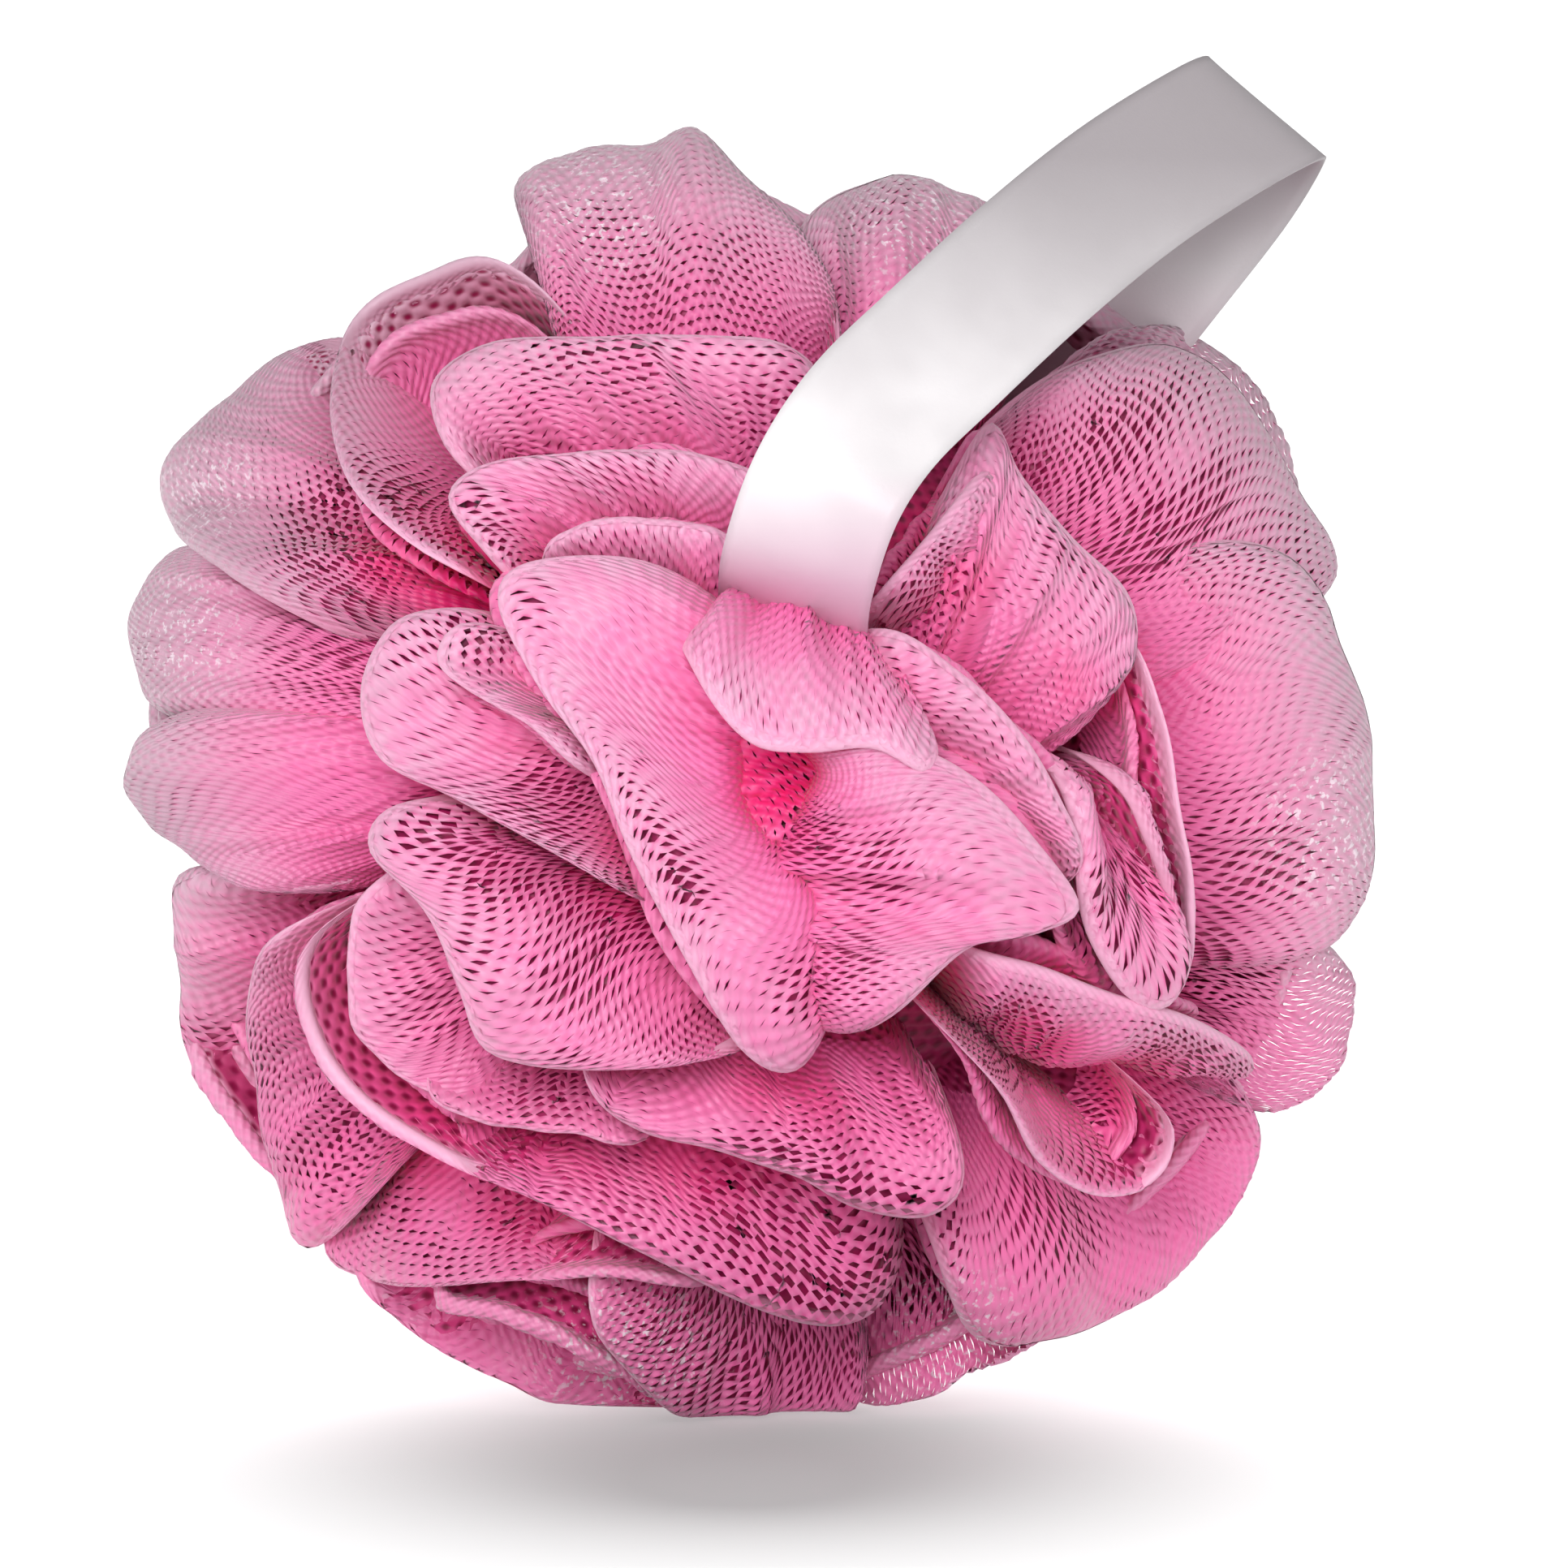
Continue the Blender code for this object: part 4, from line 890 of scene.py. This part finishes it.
def new_object(name, points, faces, material, where=None, values=None):
    """A smooth mesh object from arrays, with a map of its own and values on its points."""
    data = bpy.data.meshes.new(name)
    points = face_to_world(points)
    height = points[:, 2] - FOOT_ROUNDING / 2
    points[:, 2] = 0.5 * (height + np.sqrt(height**2 + FOOT_ROUNDING**2))
    data.from_pydata(points.tolist(), [], faces.tolist())
    data.polygons.foreach_set("use_smooth", np.ones(len(data.polygons), bool))
    for key, numbers in (values or {}).items():
        layer = data.attributes.new(key, "FLOAT", "POINT")
        layer.data.foreach_set("value", numbers.astype(np.float32))
    if where is not None:
        corner = np.empty(len(data.loops), np.int32)
        data.loops.foreach_get("vertex_index", corner)
        layer = data.uv_layers.new(name="OFBake")
        layer.data.foreach_set("uv", where[corner].astype(np.float32).ravel())
    data.update()
    thing = bpy.data.objects.new(name, data)
    data.materials.append(material)
    bpy.context.scene.collection.objects.link(thing)
    return thing


def material_of(name):
    """A new material, its node tree and its Principled shader."""
    material = bpy.data.materials.new(name)
    material.use_nodes = True
    tree = material.node_tree
    return material, tree, tree.nodes["Principled BSDF"]


def set_values(node, values):
    """Give a node's inputs these fixed values."""
    for name, value in values.items():
        node.inputs[name].default_value = value


def value_of(tree, key):
    """A node that reads a number laid on the points."""
    node = tree.nodes.new("ShaderNodeAttribute")
    node.attribute_name = key
    return node.outputs["Fac"]


def mixed(tree, factor, first, second):
    """A colour between two, each a colour or another node's output."""
    node = tree.nodes.new("ShaderNodeMix")
    node.data_type = "RGBA"
    tree.links.new(factor, node.inputs["Factor"])
    for name, value in (("A", first), ("B", second)):
        socket = next(s for s in node.inputs if s.name == name and s.type == "RGBA")
        if isinstance(value, tuple):
            socket.default_value = value
        else:
            tree.links.new(value, socket)
    return next(s for s in node.outputs if s.type == "RGBA")


def calculated(tree, operation, first, second=None):
    """A sum worked out in the shader from numbers or other nodes' outputs."""
    node = tree.nodes.new("ShaderNodeMath")
    node.operation = operation
    for socket, value in zip(node.inputs, (first, second)):
        if isinstance(value, (int, float)):
            socket.default_value = value
        elif value is not None:
            tree.links.new(value, socket)
    return node.outputs["Value"]


def ranged(tree, value, low, high, smallest=0.0, largest=1.0):
    """A value carried smoothly from one range to another."""
    node = tree.nodes.new("ShaderNodeMapRange")
    node.interpolation_type = "SMOOTHSTEP"
    tree.links.new(value, node.inputs["Value"])
    for name, number in (("From Min", low), ("From Max", high), ("To Min", smallest), ("To Max", largest)):
        if isinstance(number, (int, float)):
            node.inputs[name].default_value = number
        else:
            tree.links.new(number, node.inputs[name])
    return node.outputs["Result"]


def fine_noise(tree, scale, detail=2.0):
    """Unevenness of the given fineness, in features to the metre."""
    place = tree.nodes.new("ShaderNodeTexCoord")
    node = tree.nodes.new("ShaderNodeTexNoise")
    set_values(node, {"Scale": scale, "Detail": detail})
    tree.links.new(place.outputs["Object"], node.inputs["Vector"])
    return node.outputs["Fac"]


# painted shade: the deep pink down between the folds
NET_DEEP = (0.95, 0.135, 0.42, 1.0)
# pale: the net where the light falls on it near the rims
NET_PALE = (0.79, 0.38, 0.56, 1.0)
# paler at the rims, where the net lies doubled, with a painted highlight
NET_RIM_PALE_AND_HIGHLIGHT = (0.92, 0.50, 0.69, 1.0)
# painted sheen: the greyer pink near the outline
NET_PAINTED_SHEEN = (0.64, 0.41, 0.51, 1.0)
# painted glow: the hot pink of hollows that light passes through
NET_PAINTED_GLOW = (0.92, 0.015, 0.20, 1.0)
# painted shade at the edges of the holes
NET_SHADE = (0.74, 0.06, 0.27, 1.0)
# painted glints: the white of the specks
NET_PAINTED_GLINT = (0.90, 0.74, 0.82, 1.0)
# painted shade: the inner layers, dark where the net over them is open
INNER_DARK = (0.36, 0.007, 0.09, 1.0)
INNER_PINK = (0.93, 0.10, 0.36, 1.0)
INNER_SHADE = (0.26, 0.004, 0.06, 1.0)
SATIN_WHITE = (0.87, 0.835, 0.85, 1.0)
# greyer satin: the cloth's random tone, and painted shade at the tip
SATIN_GREY = (0.43, 0.39, 0.41, 1.0)
# painted pink light bounced from the net
SATIN_PINK_BOUNCE = (0.62, 0.37, 0.49, 1.0)
TIE_WHITE = (0.80, 0.78, 0.78, 1.0)


def add_bump(tree, shader, height, distance, strength):
    """Let a height roughen the surface; the strength is a number or a node's output."""
    bump = tree.nodes.new("ShaderNodeBump")
    bump.inputs["Distance"].default_value = distance
    if isinstance(strength, float):
        bump.inputs["Strength"].default_value = strength
    else:
        tree.links.new(strength, bump.inputs["Strength"])
    tree.links.new(height, bump.inputs["Height"])
    tree.links.new(bump.outputs["Normal"], shader.inputs["Normal"])
    return bump


def hole_pattern(tree):
    """The staggered net: 1 in the middle of each hole, -1 between holes."""
    waves = []
    for key, turn in (("cell_long", 2 * math.pi), ("cell_short", math.pi)):
        angle = calculated(tree, "MULTIPLY", value_of(tree, key), turn)
        waves.append(calculated(tree, "COSINE", angle))
    return calculated(tree, "MULTIPLY", *waves)


def net_material(name, deep, pale, hole_shade_colour, shade_share):
    """Soft plastic strands: pale where the net lies thick at a rim, with a painted highlight; painted shade
    of deep pink down between the folds and at the holes.
    """
    material, tree, shader = material_of(name)
    pattern = hole_pattern(tree)
    pink = mixed(tree, value_of(tree, "pale"), deep, pale)
    uneven = ranged(tree, fine_noise(tree, 260), 0.35, 0.65, 0.0, 0.30)
    pink = mixed(tree, uneven, pink, deep)
    # paler rim: the net lies doubled, with a painted highlight
    pink = mixed(tree, value_of(tree, "rim"), pink, NET_RIM_PALE_AND_HIGHLIGHT)
    # painted sheen: greyer towards the outline, on the pale exposed net
    painted_sheen_mix = calculated(tree, "MULTIPLY", value_of(tree, "painted_sheen"), value_of(tree, "pale"))
    pink = mixed(tree, painted_sheen_mix, pink, NET_PAINTED_SHEEN)
    # painted glow in the hollows
    pink = mixed(tree, value_of(tree, "painted_glow"), pink, NET_PAINTED_GLOW)
    # painted shade at the edges of the holes, darker where the net is stretched open
    low = calculated(tree, "SUBTRACT", 0.75, calculated(tree, "MULTIPLY", value_of(tree, "gap"), 1.6))
    painted_hole_shade = ranged(tree, pattern, low, 1.0, 0.0, shade_share)
    stretched = ranged(tree, value_of(tree, "gap"), 0.02, 0.35, 0.0, 1.0)
    woven = ranged(tree, value_of(tree, "rim"), 0.0, 1.0, 0.22, 0.0)
    pink = mixed(tree, ranged(tree, pattern, -0.5, 1.0, 0.0, woven), pink, deep)
    pink = mixed(tree, calculated(tree, "MULTIPLY", painted_hole_shade, stretched), pink, hole_shade_colour)
    # painted glints: sparse white specks where the patches are
    painted_glint_speck = ranged(tree, fine_noise(tree, 1500, 3.0), 0.54, 0.66)
    tree.links.new(
        mixed(tree, calculated(tree, "MULTIPLY", value_of(tree, "painted_glint"), painted_glint_speck), pink, NET_PAINTED_GLINT),
        shader.inputs["Base Color"],
    )
    set_values(shader, {"Roughness": 0.40, "Specular IOR Level": 0.40, "Sheen Weight": 0.20})
    set_values(shader, {"Sheen Roughness": 0.40})
    strength = ranged(tree, value_of(tree, "rim"), 0.0, 1.0, 0.7, 0.05)
    add_bump(tree, shader, pattern, STRAND_BUMP, strength).invert = True
    return material


def satin_material():
    """White satin: a tight weave with a broad soft shine, with painted pink light, bounced from the net,
    where it leaves the net, and painted shade greyer towards the tip.
    """
    material, tree, shader = material_of("white_satin")
    # painted shade: greyer towards the tip
    cloth = mixed(tree, value_of(tree, "tip_shade"), SATIN_WHITE, SATIN_GREY)
    cloth = mixed(tree, ranged(tree, fine_noise(tree, 90), 0.3, 0.7, 0.0, 0.25), cloth, SATIN_GREY)
    # painted pink light bounced from the net, where the ribbon leaves it
    tree.links.new(mixed(tree, value_of(tree, "painted_pink_bounce"), cloth, SATIN_PINK_BOUNCE), shader.inputs["Base Color"])
    set_values(shader, {"Roughness": 0.34, "Specular IOR Level": 0.5, "Anisotropic": 0.6})
    add_bump(tree, shader, fine_noise(tree, 2500), 0.05 * MM, 0.3)
    return material


def cord_material():
    """White tie cord."""
    material, tree, shader = material_of("tie_cord")
    set_values(shader, {"Base Color": TIE_WHITE, "Roughness": 0.6})
    wave = tree.nodes.new("ShaderNodeTexWave")
    set_values(wave, {"Scale": 300})
    add_bump(tree, shader, wave.outputs["Fac"], 0.2 * MM, 1.0)
    return material


def packed_core():
    """The tight folds at the bottom of the gaps, as a ball of net in painted shade of deep pink."""
    tall, wide = CORE_STEPS
    rise = np.linspace(0, math.pi, tall)[:, None]
    turn = np.linspace(0, 2 * math.pi, wide)
    out = np.cos(rise) * np.ones(wide)
    way = np.stack([np.sin(rise) * np.cos(turn), out, np.sin(rise) * np.sin(turn)], axis=-1)
    return plain_mesh(way * CORE_RADIUS, np.full(tall, CORE_SHARE), *LAYER_PITCH, CORE_GAP)


def joined(parts):
    """Several folds' arrays as one."""
    starts = np.cumsum([0] + [len(part[0]) for part in parts])
    points = np.concatenate([part[0] for part in parts])
    faces = np.concatenate([part[1] + start for part, start in zip(parts, starts)])
    where = np.concatenate([part[2] for part in parts])
    values = {key: np.concatenate([part[3][key] for part in parts]) for key in parts[0][3]}
    return points, faces, where, values


def form_of(spec):
    """How a fold of the face is made: an open fringe, a deep ply, a fold with a faint rim, or a usual one."""
    for key, form in (("fringe", "fringe"), ("deep", "ply"), ("faint", "faint")):
        if spec.get(key):
            return form
    return "folded"


def all_folds():
    """Each fold's piece of the pouf, what it is drawn from, its grain, openness, coarseness and form."""
    folds = []
    for spec in FACE_PETALS.values():
        across, up = np.mean(spec["rim"], axis=0)
        side = "face_upper" if up > UPPER_FROM else "face_left" if across < 0 else "face_right"
        folds.append((side, face_fold(spec), spec.get("grain", "seat"), spec["open"], 1.0, form_of(spec)))
    for number, spec in enumerate(FACE_PETALS.values()):
        side, drawn, _, _, _, form = folds[number]
        if form in ("folded", "faint") and not spec.get("single"):
            ply = next_ply(drawn, random.Random(PLY_SEED + number))
            folds.append((side, ply, "seat", PLY_OPEN, PLY_COARSER, "ply"))
    for side, drawn in back_folds():
        folds.append((side, drawn, "seat", BACK_OPEN, BACK_COARSER, "faint"))
    return folds


def fold_layers(number, side, drawn, grain, openness, coarser, form):
    """The layers of net in a fold: the piece each belongs to, its place on that piece's map, its arrays."""
    rows, shares = fold_sheet(*drawn, random.Random(number))
    shown = (shares >= (0 if form == "fringe" else SHOWN_FROM)) & (shares <= SHOWN_TO)
    grid = even_rows(rows[shown], shares[shown], SECTION_ROWS)
    in_face = side.startswith("face")
    net_rng = random.Random(NET_SEED + number)
    net = net_mesh(*grid, grain, openness, coarser, net_rng, in_face, form == "fringe")
    layers = [(side + "_net", 2 * number, net)]
    # painted shade: the next ply and the deep folds lie lower, so they are drawn less pale
    if form == "ply":
        for key in ("pale", "rim"):
            net[3][key] *= PLY_PALE
    elif form in ("folded", "faint"):
        band = rim_band(rows, shares)
        if form == "faint":
            band[3]["rim"] *= FAINT_RIM
        layers.append(("rim_bands", 2 * number, band))
        rows, shares = fold_sheet(*drawn, random.Random(number), inset=LINING_DEPTH)
        rows, shares = even_rows(rows, shares, SECTION_ROWS // 2)
        rows = rows[2:, LINING_TRIM:-LINING_TRIM:2]
        lining = plain_mesh(rows, shares[2:], *LAYER_PITCH, LAYER_GAP, shaded=True)
        layers.append(("inner_layers", 2 * number + 1, lining))
    return layers


def build_netting():
    """Every fold's net, and the second layer inside the folds, gathered into a few pieces."""
    outer_material = net_material("pink_net", NET_DEEP, NET_PALE, NET_SHADE, 0.75)
    inner_material = net_material("inner_net", INNER_DARK, INNER_PINK, INNER_SHADE, 1.0)
    folds = all_folds()
    cell = math.ceil(math.sqrt(2 * len(folds)))  # places to the side of a map
    pieces = {}
    for number, fold in enumerate(folds):
        for piece, place, (points, faces, where, values) in fold_layers(number, *fold):
            corner = np.array([place % cell, place // cell])
            where = (corner + MAP_MARGIN + (1 - 2 * MAP_MARGIN) * np.clip(where, 0, 1)) / cell
            pieces.setdefault(piece, []).append((points, faces, where, values))
    pieces["packed_core"] = [packed_core()]
    made = []
    for name, parts in pieces.items():
        points, faces, where, values = joined(parts)
        # the inner layers and the core take the net with painted shade
        material = inner_material if name in ("inner_layers", "packed_core") else outer_material
        made.append(new_object(name, points, faces, material, where, values))
    return made


def build_ribbon():
    """The satin ribbon as one closed loop."""
    rows = [(*(MM * value for value in row[:3]), *row[3:]) for row in RIBBON_PATH]
    path = smooth_through(rows, RIBBON_STEPS, closed=True)
    place, turn, spread = path[:, :3], np.radians(path[:, 3]), np.clip(path[:, 4], 0, 1)
    width = RIBBON_BUNCH + (RIBBON_WIDTH - RIBBON_BUNCH) * spread
    ahead = np.roll(place, -1, axis=0) - np.roll(place, 1, axis=0)
    ahead /= np.linalg.norm(ahead, axis=1)[:, None]
    across = np.stack([np.cos(turn), np.zeros_like(turn), np.sin(turn)], axis=1)
    across -= ahead * (across * ahead).sum(1)[:, None]
    across /= np.linalg.norm(across, axis=1)[:, None]
    share = np.linspace(-0.5, 0.5, RIBBON_ROWS)
    points = place[:, None] + across[:, None] * (width[:, None, None] * share[None, :, None])
    index = np.arange(RIBBON_STEPS * RIBBON_ROWS).reshape(RIBBON_STEPS, RIBBON_ROWS)
    ahead_index = np.roll(index, -1, axis=0)
    faces = np.stack([index[:, :-1], index[:, 1:], ahead_index[:, 1:], ahead_index[:, :-1]], axis=-1)
    out, up = points[..., 1] / MM, points[..., 2] / MM
    # painted pink light bounced from the net near the ribbon's foot, and painted shade greyer at the tip
    front, back = (np.clip((top - up) / fade, 0, most) for top, fade, most in (FRONT_PINK_BOUNCE, BACK_PINK_BOUNCE))
    painted_pink_bounce = np.where(out > FRONT_RUN, front, back)
    tip_shade = np.clip((up - TIP_SHADE[0]) / TIP_SHADE[1], 0, 1)
    values = {"painted_pink_bounce": painted_pink_bounce.ravel(), "tip_shade": tip_shade.ravel()}
    points, faces = points.reshape(-1, 3), faces.reshape(-1, 4)
    ribbon = new_object("satin_ribbon", points, faces, satin_material(), values=values)
    shell = ribbon.modifiers.new("thickness", "SOLIDIFY")
    shell.thickness = RIBBON_THICKNESS
    shell.offset = 0
    return ribbon


def area_of(piece):
    """The area of a piece's faces."""
    sizes = np.empty(len(piece.data.polygons), np.float32)
    piece.data.polygons.foreach_get("area", sizes)
    return float(sizes.sum())


for piece in build_netting():
    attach(piece, "root")
    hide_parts("netting")
    if piece.name == "packed_core":
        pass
    else:
        length = area_of(piece) / NET_WIDTH
ribbon = build_ribbon()
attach(ribbon, "root")
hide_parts("ribbon_loop")

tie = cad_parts["core_tie"]
tie.data.materials.clear()
tie.data.materials.append(cord_material())


# Studio
CAMERA_FAR = 1.5
FRAME_WIDTH = 0.1558  # width of the picture at the pouf
AIM_RIGHT = 0.00355  # of the pouf's centre
AIM_DOWN = 0.0016
CAMERA_RISE = math.radians(5.0)
SKY_BEHIND = 0.49
SKY_BEFORE = 0.71
SKY_WAY = (0, -0.90, 0.45)  # towards the brightest part of the surroundings
# Soft light on the floor from behind and above, so that the pouf's shadow falls towards the viewer
BACK_SUN = 10.5
BACK_SUN_TILT = math.radians(50)
BACK_SUN_SOFTNESS = math.radians(42)
FRONT_LIGHT = 7.8
FRONT_LIGHT_SIZE = 0.5
FRONT_LIGHT_PLACE = (-0.17, -1.20, 0.45)
FLOOR_SIZE = 30
FLOOR_WHITE = 0.36
FLOOR_LIFT = 0.22


def placed(name, data):
    """A new object for a light or a camera."""
    thing = bpy.data.objects.new(name, data)
    bpy.context.scene.collection.objects.link(thing)
    return thing


def build_floor():
    """A white floor, lifted a little where the camera sees it."""
    bpy.ops.mesh.primitive_plane_add(size=FLOOR_SIZE, location=(0, 0, 0))
    floor = bpy.context.object
    floor.name = "floor"
    material, tree, shader = material_of("floor_white")
    set_values(shader, {"Base Color": (FLOOR_WHITE, FLOOR_WHITE, FLOOR_WHITE, 1), "Roughness": 1.0})
    set_values(shader, {"Specular IOR Level": 0.0, "Emission Color": (1, 1, 1, 1)})
    seen = tree.nodes.new("ShaderNodeLightPath")
    lift = calculated(tree, "MULTIPLY", seen.outputs["Is Camera Ray"], FLOOR_LIFT)
    tree.links.new(lift, shader.inputs["Emission Strength"])
    floor.data.materials.append(material)
    return floor


def build_surroundings():
    """Even white light from all round, a little stronger from the front and above."""
    world = bpy.data.worlds.new("studio")
    bpy.context.scene.world = world
    world.use_nodes = True
    tree = world.node_tree
    background = tree.nodes["Background"]
    background.inputs["Color"].default_value = (1, 1, 1, 1)
    way = tree.nodes.new("ShaderNodeTexCoord")
    facing = tree.nodes.new("ShaderNodeVectorMath")
    facing.operation = "DOT_PRODUCT"
    facing.inputs[1].default_value = SKY_WAY
    tree.links.new(way.outputs["Generated"], facing.inputs[0])
    strength = ranged(tree, facing.outputs["Value"], 0.0, 1.0, SKY_BEHIND, SKY_BEFORE)
    tree.links.new(strength, background.inputs["Strength"])


def build_lights(floor):
    """The floor's light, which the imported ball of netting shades, and a soft light at the front."""
    data = bpy.data.lights.new("back_sun", "SUN")
    data.energy = BACK_SUN
    data.angle = BACK_SUN_SOFTNESS
    sun = placed("back_sun", data)
    sun.rotation_euler = Euler((-BACK_SUN_TILT, 0, 0))
    lit = bpy.data.collections.new("lit_by_back_sun")
    lit.objects.link(floor)
    sun.light_linking.receiver_collection = lit
    shading = bpy.data.collections.new("shading_the_back_sun")
    shading.objects.link(bpy.data.objects["packed_core"])
    sun.light_linking.blocker_collection = shading

    data = bpy.data.lights.new("front", "AREA")
    data.size = FRONT_LIGHT_SIZE
    data.energy = FRONT_LIGHT
    lamp = placed("front", data)
    lamp.location = FRONT_LIGHT_PLACE
    towards_pouf = Vector((0, 0, REST_HEIGHT)) - Vector(FRONT_LIGHT_PLACE)
    lamp.rotation_euler = towards_pouf.to_track_quat("-Z", "Y").to_euler()


def build_camera():
    """A far camera that looks down a little at the face."""
    data = bpy.data.cameras.new("camera")
    camera = placed("camera", data)
    camera.rotation_euler = Euler((math.pi / 2 - CAMERA_RISE, 0, 0))
    forward = Vector((0, math.cos(CAMERA_RISE), -math.sin(CAMERA_RISE)))
    rise = Vector((0, math.sin(CAMERA_RISE), math.cos(CAMERA_RISE)))
    aim = Vector((AIM_RIGHT, 0, REST_HEIGHT)) - rise * AIM_DOWN
    camera.location = aim - forward * CAMERA_FAR
    data.lens = data.sensor_width * CAMERA_FAR / FRAME_WIDTH
    data.clip_end = 20
    bpy.context.scene.camera = camera


build_surroundings()
build_lights(build_floor())
build_camera()
bpy.context.scene.view_settings.view_transform = "Standard"
